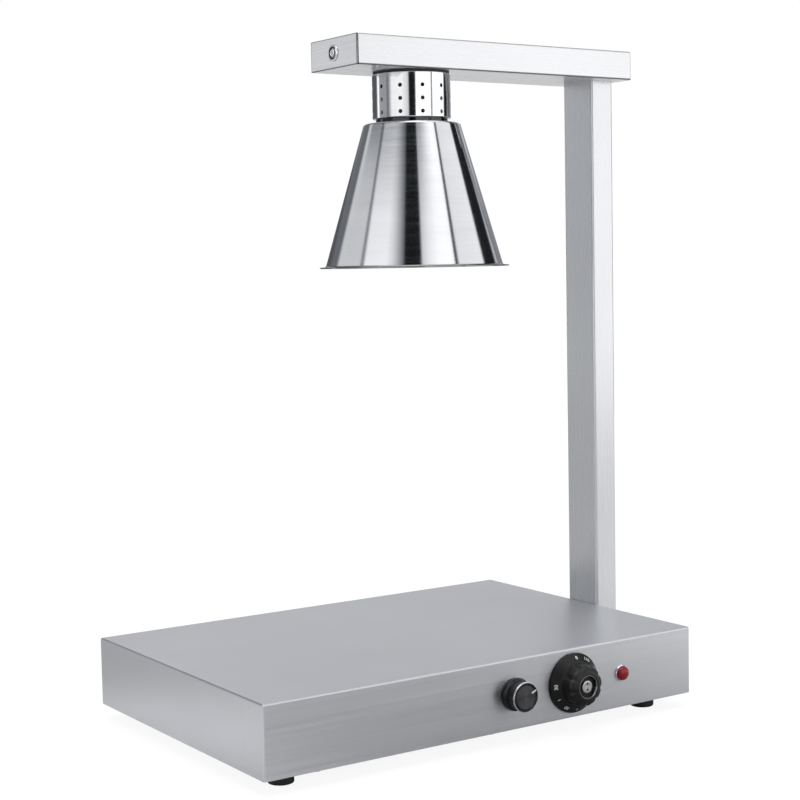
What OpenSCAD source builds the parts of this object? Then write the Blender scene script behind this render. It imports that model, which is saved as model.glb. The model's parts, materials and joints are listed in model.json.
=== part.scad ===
// Counter-top heat lamp warmer: a heated stainless base, a side post, a box arm and one hanging lamp.
// Millimetres. Origin on the floor under the centre of the base, +X to the post, +Y to the rear, +Z up.

/* [Base] */
// Length of the base, left to right
base_l = 520; // [510:5:600]
// Depth of the base, front to back
base_w = 350; // [350:5:420]
// Height of the base casing above its feet
base_h = 71; // [70:1:80]
// Thickness of the folded sheet
sheet = 1.2; // [1:0.1:1.5]
// Height of the rubber feet
foot_h = 15; // [11:1:18]
// Diameter of the rubber feet
foot_d = 25; // [22:1:30]

/* [Post and arm] */
// Depth of the post, front to back
post_d = 50; // [46:1:60]
// Width of the post, left to right
post_w = 30; // [26:1:34]
// Clear height from the base top to the underside of the arm
clear_h = 589; // [560:1:700]
// Length of the arm
arm_l = 362; // [345:1:380]
// Depth of the arm, front to back
arm_w = 88; // [84:1:100]
// Height of the arm
arm_h = 31; // [30:1:40]
// How far the arm runs on past the post
arm_overhang = 11; // [10:1:20]

/* [Lamp] */
// Distance of the lamp axis to the right of the base centre
lamp_x = 34; // [20:1:40]
// Diameter of the perforated neck
neck_d = 82; // [78:1:84]
// Diameter of the shade at its shoulder
shoulder_d = 101; // [98:1:104]
// Diameter of the shade where the cone meets its rim
cone_d = 187; // [180:1:190]
// Diameter of the shade over its rim
rim_d = 200; // [194:1:210]
// Height of the shade
shade_h = 150; // [146:1:160]
// Number of vent columns round the neck
vent_columns = 11; // [8:1:14]
// Diameter of each vent hole
vent_d = 4.2; // [3:0.1:5]

/* [Controls] */
// Distance of the dimmer knob to the right of the base centre
dimmer_x = 25; // [20:1:30]
// Distance of the thermostat dial to the right of the base centre
dial_x = 99; // [94:1:104]
// Distance of the pilot lamp to the right of the base centre
pilot_x = 164; // [158:1:170]
// Diameter of the thermostat dial over its skirt
dial_d = 61; // [58:1:64]
// Diameter of the dimmer knob over its flange
knob_d = 33; // [32:1:35]
// Diameter of the pilot lamp over its bezel
pilot_d = 17.2; // [15:0.2:18]

/* [Hidden] */
$fn = 64;

// Colours
steel = "silver";
black = [0.08, 0.08, 0.09];
brass = [0.85, 0.68, 0.35];

// Clearances and sheet details
fit = 0.05;          // radial play of a running shaft or a thread
loose = 0.25;        // radial play of a screw in a plain hole
seam = 0.4;          // gap between two covers
end_seam = 0.8;      // gap between the arm's cover and its end cap
lip_w = 14;          // width of the turned-in lips that take the cover screws
arm_lip_w = 10;
eps = 1;             // how far a cutter runs past a face

// Levels
base_z = foot_h;
top_z = base_z + base_h;
under_top = top_z - sheet;
cover_top = base_z + sheet;
lip_top = cover_top + sheet;
arm_z = top_z + clear_h;
arm_floor_top = arm_z + sheet;
panel_z = base_z + base_h / 2;
front_y = -base_w / 2;
inner_front = front_y + sheet;
rear_y = base_w / 2;
inner_rear = rear_y - sheet;
right_x = base_l / 2;
inner_right = right_x - sheet;
post_x = right_x + post_w / 2;
arm_right = right_x + post_w + arm_overhang;
arm_left = arm_right - arm_l;

// Fastener sizes
m3 = 3;
m4 = 4;
m5 = 5;
m6 = 6;
nut_h = 4;

// Feet and cover screws
foot_x = base_l / 2 - 37;
foot_y = base_w / 2 - 35;
cover_screw_y = base_w / 2 - sheet - lip_w / 2;
cover_screw_x = base_l / 2 - sheet - lip_w / 2;
cover_screw_at = concat(
    [for (x = [-200, 0, 200], s = [-1, 1]) [x, s * cover_screw_y]],
    [for (s = [-1, 1]) [s * cover_screw_x, 0]]
);
arm_screw_y = arm_w / 2 - sheet - arm_lip_w / 2;
arm_screw_at = [for (x = [arm_left + 30, lamp_x + 90, arm_right - 60], s = [-1, 1]) [x, s * arm_screw_y]];

// Heater stack, hung under the top sheet
heater_at = [-20, 25];
heater_size = [400, 250];
spreader_t = 3;
mat_t = 3;
blanket_t = 12;
clamp_t = 1;
spreader_z = under_top - spreader_t;
mat_z = spreader_z - mat_t;
blanket_z = mat_z - blanket_t;
clamp_z = blanket_z - clamp_t;
stud_r = m5 / 2 - fit;
stud_hole_r = 2.8;
stud_at = [for (i = [-1, 0, 1], s = [-1, 1]) heater_at + [i * 180, s * 110]];
stud_len = 26;
heater_post_at = [[100, -60], [140, -60]];
heater_post_z = base_z + 40;

// Thermostat, dimmer and pilot
thermostat_size = [44, 32, 34];
thermostat_back = inner_front + thermostat_size[1];
spindle_r = 3;
spindle_fit = 0.06;
spindle_flat = 1.6;
thermostat_screw_pitch = 28;
tab_len = 8;
tab_z = base_z + 26;
tab_x = [88, 100, 112];
dimmer_size = [30, 18, 30];
dimmer_back = inner_front + dimmer_size[1];
dimmer_tab_z = base_z + 30;
dimmer_tab_len = 6;
bush_r = 5;
bush_out = 7;
panel_hole_r = bush_r + 0.2;
dial_gap = 1;
dial_h = 25;
dial_seat = 17;      // how far the dial's spindle stands out of the panel
dial_recess = 4.5;
dial_cup_r = 11.8;
trim_r = 10.2;       // inner radius of the bright ring in the dial's recess
disc_r = 6.3;
skirt_h = 9;
grip_r = 21.5;
knob_gap = 1.2;
knob_h = 18.5;
knob_face_r = knob_d / 2 - 2;
knob_ring_h = 2;
pilot_r = pilot_d / 2;
lens_r = pilot_r - 1.2;
pointer_angle = -64;     // where the dimmer's pointer stands, anticlockwise from straight up
bezel_h = 1.6;
pilot_len = 26;          // from the panel's face to the back of the pilot lamp
pilot_back = front_y + pilot_len;
lens_seat = 0.8;
bulb_probe_r = 3;
bulb_probe_y = -112;
bulb_probe_z = under_top - bulb_probe_r;
bulb_probe_x = [-10, 80];
capillary_x = 110;

// Terminal block on the bottom cover
block_size = [62, 22, 17];
block_at = [140, 118];
block_mid_y = block_at.y + block_size.y / 2;
pole_x = [for (i = [0:4]) block_at[0] + 7 + 12 * i];
pole_z = base_z + 8;
upper_pole_z = base_z + 14;
cross_z = base_z + 22;
block_end_x = [block_at[0] - 3, block_at[0] + block_size[0] + 5];
block_lug = 7;

// Cord and wires
cord_r = 3.6;
cord_x = 159;
cord_z = base_z + 28;
cord_floor_z = cord_r + 0.4;
cord_bend = 15;
sheath_end = inner_rear - 17.8;
core_r = 1.2;
wire_r = 1.2;
gland_r = 8;
earth_x = 125;
earth_z = base_z + 25.6;
hank_x = [-50, cord_x];
hank_y = [rear_y + 41, rear_y + 125];
hank_pitch = 10;
plug_r = 19;
plug_h = 20;
plug_at = [49, rear_y + 83];
pin_r = 2.4;
pin_root_r = 2;
pin_root = 6;
pin_len = 18;
pin_pitch = 19;
clip_w = 4;

// Post fixings
post_bolt_y = 14;
top_bolt_y = 16;
post_bolt_z = [panel_z - 18, panel_z + 14];
post_cable_z = base_z + 32;
grommet_hole_r = 7;
grommet_bore_r = 4;
backing_t = 3;
plate_t = 4;
washer_t = 1.2;
cable_r = 3;
cable_bend = 8;
arm_cable_z = arm_z + 16;

// Lamp levels, from the arm down
gasket_t = 2;
neck_top = arm_z - gasket_t;
neck_wall = 0.8;
neck_bottom = arm_z - 48.5;
collar_r = 37.6;
shade_top = arm_z - 53;
shade_bottom = shade_top - shade_h;
vent_row_z = [for (i = [0:2]) arm_z - 16 - 13.35 * i];
vent_phase = 22.8;
nipple_r = 5;
nipple_bore_r = 3.5;
nipple_top = arm_floor_top + 9;
nipple_bottom = neck_top - 13;
bracket_z = neck_top - 6.5;
socket_top = nipple_bottom - 4;
socket_r = 18;
socket_len = 54;
socket_bore_r = 13.6;
socket_crown = 20;       // solid top of the socket, above its bore
cap_r = 13;
cap_inner_r = 12.3;
cap_top = socket_top - 26;
cap_bottom = cap_top - 26;
bulb_r = 59;
bulb_face = cap_top - 148;

// ---------------------------------------------------------------- helpers

// A box from its low corner to its high corner
module block(low, high) {
    translate(low) cube(high - low);
}

// Children's +Z turned to point out of the front, the rear, the right or the left
module to_front() { rotate([90, 0, 0]) children(); }
module to_rear() { rotate([-90, 0, 0]) children(); }
module to_right() { rotate([0, 90, 0]) children(); }
module to_left() { rotate([0, -90, 0]) children(); }

// A control's own frame: +Z out of the front panel, +Y up, origin on the panel's face
module on_panel(x) {
    translate([x, front_y, panel_z]) to_front() children();
}

// Cutter for a round hole through a wall that stands on z = 0
module hole(r, wall = sheet) {
    translate([0, 0, -eps]) cylinder(r = r, h = wall + 2 * eps);
}

// A ring standing on z = 0
module ring(r_out, r_in, h) {
    difference() {
        cylinder(r = r_out, h = h);
        hole(r_in, h);
    }
}

// Countersunk screw pointing down: head flush with z = 0 and as deep as one sheet, with a cross recess
module flat_screw(d, len) {
    r = d / 2 - fit;
    difference() {
        union() {
            translate([0, 0, -sheet]) cylinder(r1 = r, r2 = r + sheet, h = sheet);
            translate([0, 0, -len]) cylinder(r = r, h = len);
        }
        for (a = [0, 90]) rotate(a) translate([-0.5 * d, -0.08 * d, -0.25 * d]) cube([d, 0.16 * d, d]);
    }
}

// The hole of a countersunk screw, through a sheet on z = 0
module flat_screw_hole(d) {
    r = d / 2 + fit;
    translate([0, 0, -eps]) cylinder(r1 = r + sheet + eps, r2 = r - eps, h = sheet + 2 * eps);
}

// Screw pointing down: pan head above z = 0 with a cross recess, shank below
module pan_screw(d, len, head_r = undef, head_h = undef) {
    r = is_undef(head_r) ? d : head_r;
    h = is_undef(head_h) ? 0.55 * d : head_h;
    difference() {
        union() {
            cylinder(r = r, h = 0.5 * h);
            translate([0, 0, 0.5 * h]) cylinder(r1 = r, r2 = 0.72 * r, h = 0.5 * h);
            translate([0, 0, -len]) cylinder(r = d / 2 - fit, h = len);
        }
        for (a = [0, 90])
            translate([0, 0, 0.45 * h]) rotate(a) translate([-0.55 * r, -0.09 * r, 0])
                cube([1.1 * r, 0.18 * r, h]);
    }
}

// Hexagon nut on z = 0, across-corners radius 0.9 of the thread diameter
module hex_nut(d, h = nut_h) {
    difference() {
        cylinder(r = 0.9 * d, h = h, $fn = 6);
        hole(d / 2, h);
    }
}

// Thin M10 nut on z = 0, used on the lamp nipple and the control bushes
module m10_nut(h = nut_h) {
    difference() {
        cylinder(r = 8.6, h = h, $fn = 6);
        hole(bush_r, h);
    }
}

// Hexagon bolt pointing down with a washer under its head
module hex_bolt(d, len) {
    translate([0, 0, washer_t]) cylinder(r = 0.9 * d, h = 0.65 * d, $fn = 6);
    translate([0, 0, -len]) cylinder(r = d / 2 - fit, h = len + washer_t);
}

function unit(v) = v / norm(v);

// Round rod from a to b
module rod(a, b, r) {
    d = b - a;
    translate(a) rotate([0, acos(d.z / norm(d)), atan2(d.y, d.x)]) cylinder(r = r, h = norm(d));
}

// Quarter bend at corner b of the path a-b-c, whose legs are square to each other
module corner_bend(a, b, c, r, bend) {
    u = unit(b - a);
    v = unit(c - b);
    w = cross(u, v);
    o = b - bend * u + bend * v;
    multmatrix([
        [-v.x, u.x, w.x, o.x],
        [-v.y, u.y, w.y, o.y],
        [-v.z, u.z, w.z, o.z],
        [0, 0, 0, 1]
    ])
        rotate_extrude(angle = 90) translate([bend, 0]) circle(r);
}

// Cable of radius r through points joined by legs along the axes, with rounded corners
module cable(points, r, bend) {
    last = len(points) - 1;
    for (i = [0:last - 1]) {
        u = unit(points[i + 1] - points[i]);
        start = i == 0 ? points[i] : points[i] + bend * u;
        end = i == last - 1 ? points[i + 1] : points[i + 1] - bend * u;
        if (norm(end - start) > fit) rod(start, end, r);
        if (i < last - 1) corner_bend(points[i], points[i + 1], points[i + 2], r, bend);
    }
}

// ---------------------------------------------------------------- base

// One folded sheet: top and four sides, open below, with lips turned in at the bottom
module base_casing() {
    color(steel)
    difference() {
        union() {
            difference() {
                block([-right_x, front_y, base_z], [right_x, rear_y, top_z]);
                block([-inner_right, inner_front, base_z - eps], [inner_right, inner_rear, under_top]);
            }
            difference() {
                block([-inner_right, inner_front, cover_top], [inner_right, inner_rear, lip_top]);
                block([-inner_right + lip_w, inner_front + lip_w, cover_top - eps],
                      [inner_right - lip_w, inner_rear - lip_w, lip_top + eps]);
            }
        }
        for (p = cover_screw_at) translate([p.x, p.y, cover_top]) hole(m4 / 2);
        for (x = [dimmer_x, pilot_x]) on_panel(x) panel_hole(panel_hole_r);
        on_panel(dial_x) {
            panel_hole(bush_r);
            for (s = [-1, 1]) translate([s * thermostat_screw_pitch / 2, 0, 0]) panel_hole(m4 / 2 + loose);
        }
        translate([cord_x, inner_rear, cord_z]) to_rear() hole(gland_r + 0.1);
        post_holes(inner_right, sheet);
    }
}

module panel_hole(r) {
    translate([0, 0, -sheet]) hole(r);
}

// Bolt and cable holes of the post joint, cut through a wall that starts at x
module post_holes(x, wall, bolt_r = m6 / 2 + loose) {
    for (s = [-1, 1], z = post_bolt_z) translate([x, s * post_bolt_y, z]) to_right() hole(bolt_r, wall);
    translate([x, 0, post_cable_z]) to_right() hole(grommet_hole_r, wall);
}

// Flat cover screwed up against the lips, with two banks of vent slots
module bottom_cover() {
    slot_l = 44;
    slot_w = 4;
    inset = sheet + seam;
    color(steel)
    difference() {
        block([-right_x + inset, front_y + inset, base_z], [right_x - inset, rear_y - inset, cover_top]);
        for (p = cover_screw_at) translate([p.x, p.y, base_z]) hole(m4 / 2 + loose);
        at_feet() translate([0, 0, base_z]) hole(m5 / 2 + loose);
        for (x = block_end_x) translate([x, block_mid_y, base_z]) hole(m3 / 2 + loose);
        for (bank = [-110, 40], i = [0:7])
            translate([bank + 10 * i, -slot_l / 2, base_z - eps]) {
                translate([-slot_w / 2, 0, 0]) cube([slot_w, slot_l, sheet + 2 * eps]);
                for (y = [0, slot_l]) translate([0, y, 0]) cylinder(r = slot_w / 2, h = sheet + 2 * eps);
            }
    }
}

// Pan-head screws close the base, and countersunk ones close the arm
module casing_screws() {
    color(steel) {
        for (p = cover_screw_at) translate([p.x, p.y, base_z]) rotate([180, 0, 0]) pan_screw(m4, 8);
        for (p = arm_screw_at) translate([p.x, p.y, arm_z]) rotate([180, 0, 0]) flat_screw(m3, 6);
    }
}

module at_feet() {
    for (x = [-1, 1], y = [-1, 1]) translate([x * foot_x, y * foot_y, 0]) children();
}

// Rubber foot with a rounded sole and a recess for its screw head
module rubber_feet() {
    r = foot_d / 2;
    round_r = 1.5;
    sole_r = r - round_r;
    color(black)
    at_feet() difference() {
        rotate_extrude() union() {
            square([sole_r, foot_h]);
            translate([0, round_r]) square([r, foot_h - round_r]);
            translate([sole_r, round_r]) circle(round_r);
        }
        translate([0, 0, -eps]) cylinder(r = 5.5, h = 4 + eps);
        cylinder(r = m5 / 2 + loose, h = foot_h + eps);
    }
}

module foot_screws() {
    color(steel) at_feet() translate([0, 0, 4]) rotate([180, 0, 0]) pan_screw(m5, foot_h + 3);
}

// M5 nuts: four hold the feet, six hold the heater stack and one holds the earth lug
module lock_nuts() {
    color(steel) {
        at_feet() translate([0, 0, cover_top]) hex_nut(m5);
        for (p = stud_at) translate([p.x, p.y, clamp_z - nut_h]) hex_nut(m5);
        translate([earth_x, inner_rear - nut_h - 1, earth_z]) to_rear() hex_nut(m5);
    }
}

// Plate of the heater stack, with its stud holes and optional clear holes for the heater's own posts
module stack_plate(z, t, margin, post_hole_r = 0) {
    size = heater_size - 2 * [margin, margin];
    difference() {
        translate([heater_at.x - size.x / 2, heater_at.y - size.y / 2, z]) cube([size.x, size.y, t]);
        for (p = stud_at) translate([p.x, p.y, z]) hole(stud_hole_r, t);
        if (post_hole_r > 0) for (p = heater_post_at) translate([p.x, p.y, z]) hole(post_hole_r, t);
    }
}

module heat_spreader() { color("gainsboro") stack_plate(spreader_z, spreader_t, 0); }

// Mica heater with two ceramic lead posts that hang through the blanket and the clamp
module heater_mat() {
    color([0.72, 0.62, 0.45])
    union() {
        stack_plate(mat_z, mat_t, 3);
        for (p = heater_post_at)
            translate([p.x, p.y, heater_post_z]) cylinder(r = 3, h = mat_z - heater_post_z);
    }
}

module insulation_blanket() { color("ivory") stack_plate(blanket_z, blanket_t, 1, 5); }

// Pressed plate with stiffening ribs that holds the heater against the top
module heater_clamp() {
    rib = [heater_size.x - 40, 8, 3];
    color(steel)
    union() {
        stack_plate(clamp_z, clamp_t, 0, 5);
        for (y = [heater_at.y - 60, heater_at.y + 30, heater_at.y + 60])
            translate([heater_at.x - rib.x / 2, y, clamp_z - rib.z]) cube(rib);
    }
}

// Studs welded under the top sheet and on the rear wall
module weld_studs() {
    color(steel) {
        for (p = stud_at) translate([p.x, p.y, under_top - stud_len]) cylinder(r = stud_r, h = stud_len);
        translate([earth_x, inner_rear - 14, earth_z]) to_rear() cylinder(r = stud_r, h = 14);
    }
}

// ---------------------------------------------------------------- thermostat

// Upright 6.3 mm spade terminal that points to the rear
module spade_tab(at, len) {
    translate(at - [0.4, 0, 3.15]) cube([0.8, len, 6.3]);
}

module thermostat_body() {
    color([0.55, 0.42, 0.3])
    difference() {
        union() {
            block([dial_x - thermostat_size.x / 2, inner_front, panel_z - thermostat_size.z / 2],
                  [dial_x + thermostat_size.x / 2, thermostat_back, panel_z + thermostat_size.z / 2]);
            for (x = tab_x)
                spade_tab([x, thermostat_back, tab_z], tab_len);
        }
        on_panel(dial_x) {
            translate([0, 0, -sheet - 24]) cylinder(r = spindle_r + spindle_fit, h = 24 + eps);
            for (s = [-1, 1])
                translate([s * thermostat_screw_pitch / 2, 0, -sheet - 8])
                    cylinder(r = m4 / 2, h = 8 + eps);
        }
    }
}

module thermostat_screws() {
    color(steel)
    on_panel(dial_x)
        for (s = [-1, 1]) translate([s * thermostat_screw_pitch / 2, 0, 0]) pan_screw(m4, 8, 3.5, 2);
}

// Spindle with a flat, which the dial's bore fits
module thermostat_spindle() {
    color(steel) on_panel(dial_x) difference() {
        flatted_spindle(-sheet - 23.5, dial_seat);
        translate([0, 0, dial_seat - 6]) cylinder(r = m3 / 2, h = 6 + eps);
    }
}

module flatted_spindle(from, to) {
    difference() {
        translate([0, 0, from]) cylinder(r = spindle_r, h = to - from);
        translate([-spindle_r, spindle_flat, 4]) cube([2 * spindle_r, spindle_r, to]);
    }
}

module flatted_bore(from, to) {
    r = spindle_r + fit;
    difference() {
        translate([0, 0, from]) cylinder(r = r, h = to - from);
        translate([-r, spindle_flat + fit, from - eps]) cube([2 * r, r, to - from + 2 * eps]);
    }
}

// Black dial: a conical skirt for the figures and a domed, fluted grip with a recess in its face
module thermostat_dial() {
    r = dial_d / 2;
    lobes = 9;
    flute_r = 6;
    color(black)
    on_panel(dial_x)
    difference() {
        union() {
            rotate_extrude()
                polygon([[0, dial_gap], [r, dial_gap], [r, 3], [grip_r + 2, skirt_h], [0, skirt_h]]);
            difference() {
                rotate_extrude() polygon([
                    [0, skirt_h - eps], [grip_r, skirt_h - eps], [grip_r - 0.7, dial_h - 6],
                    [grip_r - 1.6, dial_h - 3.8], [grip_r - 3.6, dial_h - 2],
                    [dial_cup_r + 0.8, dial_h], [0, dial_h]
                ]);
                for (i = [0:lobes - 1])
                    rotate((i + 0.5) * 360 / lobes) translate([grip_r + flute_r - 1.6, 0, skirt_h])
                        cylinder(r = flute_r, h = dial_h);
            }
        }
        translate([0, 0, dial_gap - eps]) cylinder(r = 20, h = 4 + eps);
        flatted_bore(dial_gap, dial_seat + fit);
        cylinder(r = m3 / 2 + loose, h = dial_h);
        translate([0, 0, dial_h - dial_recess]) cylinder(r = dial_cup_r, h = dial_recess + eps);
    }
}

// Dished bright ring seated in the recess of the dial
module dial_trim_ring() {
    r = dial_cup_r - fit;
    color("whitesmoke") on_panel(dial_x) translate([0, 0, dial_h - dial_recess])
        rotate_extrude()
            polygon([[trim_r, 0], [r, 0], [r, dial_recess - 0.6],
                     [r - 0.5, dial_recess - 0.6], [trim_r, 1]]);
}

// Round-headed dial screw, turned with a two-pin key
module dial_screw() {
    color(steel) on_panel(dial_x) translate([0, 0, dial_h - dial_recess])
    difference() {
        union() {
            rotate_extrude() polygon([[0, 0], [disc_r, 0], [disc_r, 1.6], [disc_r - 0.8, 2.4], [0, 2.4]]);
            translate([0, 0, -7]) cylinder(r = m3 / 2 - fit, h = 7 + eps);
        }
        for (s = [-1, 1]) translate([0, 2.9 * s, 1]) cylinder(r = 1.3, h = 2);
    }
}

// Capillary tube and its sensing bulb, clipped under the top sheet in front of the heater
module thermostat_capillary() {
    z0 = panel_z + 10;
    color([0.78, 0.5, 0.32])
    union() {
        cable([
            [capillary_x, thermostat_back, z0],
            [capillary_x, thermostat_back + 14, z0],
            [capillary_x, thermostat_back + 14, bulb_probe_z],
            [capillary_x, bulb_probe_y, bulb_probe_z],
            [bulb_probe_x[1], bulb_probe_y, bulb_probe_z]
        ], 1, 5);
        translate([bulb_probe_x[0], bulb_probe_y, bulb_probe_z]) to_right()
            cylinder(r = bulb_probe_r, h = bulb_probe_x[1] - bulb_probe_x[0]);
    }
}

module capillary_clips() {
    width = 8;
    r = bulb_probe_r + 0.1;
    color(steel)
    for (x = [bulb_probe_x[0] + 18, bulb_probe_x[1] - 18])
        translate([x - width / 2, bulb_probe_y, bulb_probe_z]) difference() {
            union() {
                to_right() cylinder(r = r + 0.8, h = width);
                translate([0, -9, bulb_probe_r - 0.8]) cube([width, 18, 0.8]);
            }
            translate([-eps, 0, 0]) to_right() cylinder(r = r, h = width + 2 * eps);
            translate([-eps, -r, 0]) cube([width + 2 * eps, 2 * r, bulb_probe_r + eps]);
            translate([-eps, -20, bulb_probe_r]) cube([width + 2 * eps, 40, 5]);
        }
}

// ---------------------------------------------------------------- dimmer and pilot

module dimmer_body() {
    color([0.15, 0.16, 0.18])
    difference() {
        union() {
            block([dimmer_x - dimmer_size.x / 2, inner_front, panel_z - dimmer_size.z / 2],
                  [dimmer_x + dimmer_size.x / 2, dimmer_back, panel_z + dimmer_size.z / 2]);
            on_panel(dimmer_x) translate([0, 0, -sheet - eps])
                cylinder(r = bush_r - fit, h = sheet + eps + bush_out);
            for (s = [-1, 1]) spade_tab([dimmer_x + 5 * s, dimmer_back, dimmer_tab_z], dimmer_tab_len);
        }
        on_panel(dimmer_x) translate([0, 0, -14])
            cylinder(r = spindle_r + spindle_fit, h = 14 + bush_out + eps);
    }
}

module dimmer_spindle() {
    color(steel) on_panel(dimmer_x) rotate(pointer_angle) difference() {
        translate([0, 0, -13.5]) cylinder(r = spindle_r, h = 28);
        translate([-spindle_r, spindle_flat, bush_out]) cube([2 * spindle_r, spindle_r, 10]);
    }
}

// Round knob with a flange at the panel, a waist and a dished face
module dimmer_knob() {
    r = knob_d / 2;
    face_r = knob_face_r;
    waist_r = face_r - 0.3;
    color(black)
    on_panel(dimmer_x) rotate(pointer_angle)
    difference() {
        rotate_extrude() polygon([
            [0, knob_gap], [r, knob_gap], [r, 3.4], [waist_r, 4.6], [waist_r, knob_h - 4.5],
            [face_r, knob_h - 4], [face_r, knob_h - 0.6], [face_r - 0.8, knob_h], [face_r - 2, knob_h],
            [face_r - 3.4, knob_h - 0.8], [0, knob_h - 0.8]
        ]);
        translate([0, 0, knob_gap - eps]) cylinder(r = 10.5, h = 4.6 - knob_gap + eps);
        cylinder(r = bush_r + 0.4, h = bush_out + 0.6);
        flatted_bore(bush_out, 14.5 + fit);
        translate([0, 0, knob_h - 0.8 - knob_ring_h]) ring(face_r + eps, face_r - 0.6, knob_ring_h);
        translate([-0.8, face_r - 7, knob_h - 1.8]) cube([1.6, 6, 3]);
    }
}

module knob_trim_ring() {
    color("whitesmoke") on_panel(dimmer_x) translate([0, 0, knob_h - 0.8 - knob_ring_h])
        ring(knob_face_r + 0.6, knob_face_r - 0.55, knob_ring_h);
}

module knob_pointer() {
    color("white") on_panel(dimmer_x) rotate(pointer_angle)
        translate([-0.75, knob_face_r - 6.95, knob_h - 1.8]) cube([1.5, 5.85, 1.9]);
}

// Pilot lamp holder: bezel outside the panel, threaded barrel through it
module pilot_holder() {
    color("whitesmoke")
    on_panel(pilot_x)
    difference() {
        union() {
            rotate_extrude()
                polygon([[0, 0], [pilot_r, 0], [pilot_r, 0.8], [pilot_r - 0.6, bezel_h], [0, bezel_h]]);
            translate([0, 0, -pilot_len]) cylinder(r = bush_r - fit, h = pilot_len + eps);
        }
        translate([0, 0, lens_seat]) cylinder(r = lens_r + fit, h = bezel_h);
    }
}

// Red domed lens seated in the bezel
module pilot_lens() {
    dome_r = lens_r + 0.6;
    color([0.8, 0.05, 0.07])
    on_panel(pilot_x) translate([0, 0, lens_seat])
    intersection() {
        cylinder(r = lens_r, h = 10);
        translate([0, 0, -2.4]) sphere(r = dome_r);
    }
}

// M10 nuts: outside the panel under the knob, and inside on the pilot's barrel
module panel_nuts() {
    color(steel) {
        on_panel(dimmer_x) m10_nut(3);
        on_panel(pilot_x) translate([0, 0, -sheet - 3]) m10_nut(3);
    }
}

// ---------------------------------------------------------------- wiring

// Five-pole block with a barrier between the poles and a lug at each end
module terminal_block() {
    low = [block_at.x, block_at.y, cover_top];
    color("ivory")
    difference() {
        union() {
            translate(low + [1, 0, 0]) cube([60, block_size.y, 14]);
            for (i = [0:5]) translate([pole_x[0] - 6.75 + 12 * i, block_at.y, cover_top])
                cube([1.5, block_size.y, block_size.z]);
            translate([block_at.x - block_lug, block_mid_y - 5, cover_top])
                cube([block_size.x + block_lug + 9, 10, 4]);
        }
        for (x = block_end_x) translate([x, block_mid_y, cover_top]) hole(m3 / 2 + loose, 4);
        for (x = pole_x) translate([x, block_mid_y, cover_top + 8]) cylinder(r = 2, h = 8);
    }
}

module terminal_screws() {
    color(brass) {
        for (x = pole_x) translate([x, block_mid_y, cover_top + 14]) pan_screw(m3 + 0.8, 5.5, 3, 1.8);
        for (x = block_end_x) {
            translate([x, block_mid_y, cover_top + 4]) pan_screw(m3, 8.5, 2.8, 1.8);
            translate([x, block_mid_y, base_z - 2.4]) hex_nut(m3, 2.4);
        }
    }
}

// Brown cores: block to thermostat and dimmer, thermostat to heater and pilot, dimmer back to the block
module live_wires() {
    y0 = block_at.y;
    back = block_at.y + block_size.y;
    tab_y = thermostat_back + tab_len;
    run_y = [for (i = [0:3]) thermostat_back + 8 + 7 * i];
    color([0.42, 0.2, 0.1]) {
        cable([[pole_x[0], y0, pole_z], [pole_x[0], run_y[2], pole_z], [tab_x[0], run_y[2], pole_z],
               [tab_x[0], run_y[2], tab_z], [tab_x[0], tab_y, tab_z]], wire_r, 5);
        cable([[pole_x[1], y0, pole_z], [pole_x[1], run_y[1], pole_z], [dimmer_x - 5, run_y[1], pole_z],
               [dimmer_x - 5, run_y[1], dimmer_tab_z],
               [dimmer_x - 5, dimmer_back + dimmer_tab_len, dimmer_tab_z]], wire_r, 5);
        cable([[tab_x[1], tab_y, tab_z], [tab_x[1], heater_post_at[0].y, tab_z],
               [heater_post_at[0].x, heater_post_at[0].y, heater_post_z]], wire_r, 5);
        cable([[dimmer_x + 5, dimmer_back + dimmer_tab_len, dimmer_tab_z],
               [dimmer_x + 5, run_y[3], dimmer_tab_z], [dimmer_x + 5, run_y[3], upper_pole_z],
               [pole_x[3], run_y[3], upper_pole_z],
               [pole_x[3], y0, upper_pole_z]], wire_r, 5);
        cable([[pilot_x - 3, pilot_back, panel_z], [pilot_x - 3, tab_y + 9, panel_z],
               [tab_x[2], tab_y + 9, panel_z], [tab_x[2], tab_y + 9, tab_z], [tab_x[2], tab_y, tab_z]],
              wire_r, 4);
        cable([[cord_x - 2.2, sheath_end, cord_z + 1], [cord_x - 2.2, back + 6, cord_z + 1],
               [pole_x[0], back + 6, cord_z + 1], [pole_x[0], back + 6, pole_z],
               [pole_x[0], back, pole_z]], core_r, 3);
    }
}

// Blue cores: block to heater and to pilot, and the cord's own core
module neutral_wires() {
    y0 = block_at.y;
    back = block_at.y + block_size.y;
    run_y = thermostat_back + 42;
    color([0.1, 0.25, 0.6]) {
        cable([[pole_x[2], y0, pole_z], [pole_x[2], heater_post_at[1].y, pole_z],
               [pole_x[2], heater_post_at[1].y, cross_z],
               [heater_post_at[1].x, heater_post_at[1].y, cross_z],
               [heater_post_at[1].x, heater_post_at[1].y, heater_post_z]], wire_r, 5);
        cable([[pilot_x + 3, pilot_back, panel_z], [pilot_x + 3, run_y, panel_z],
               [pilot_x + 3, run_y, upper_pole_z], [pilot_x + 3, y0, upper_pole_z]], wire_r, 5);
        cable([[cord_x + 2.2, sheath_end, cord_z + 1], [cord_x + 2.2, back + 6, cord_z + 1],
               [pole_x[2], back + 6, cord_z + 1], [pole_x[2], back + 6, pole_z],
               [pole_x[2], back, pole_z]], core_r, 3);
    }
}

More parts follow.
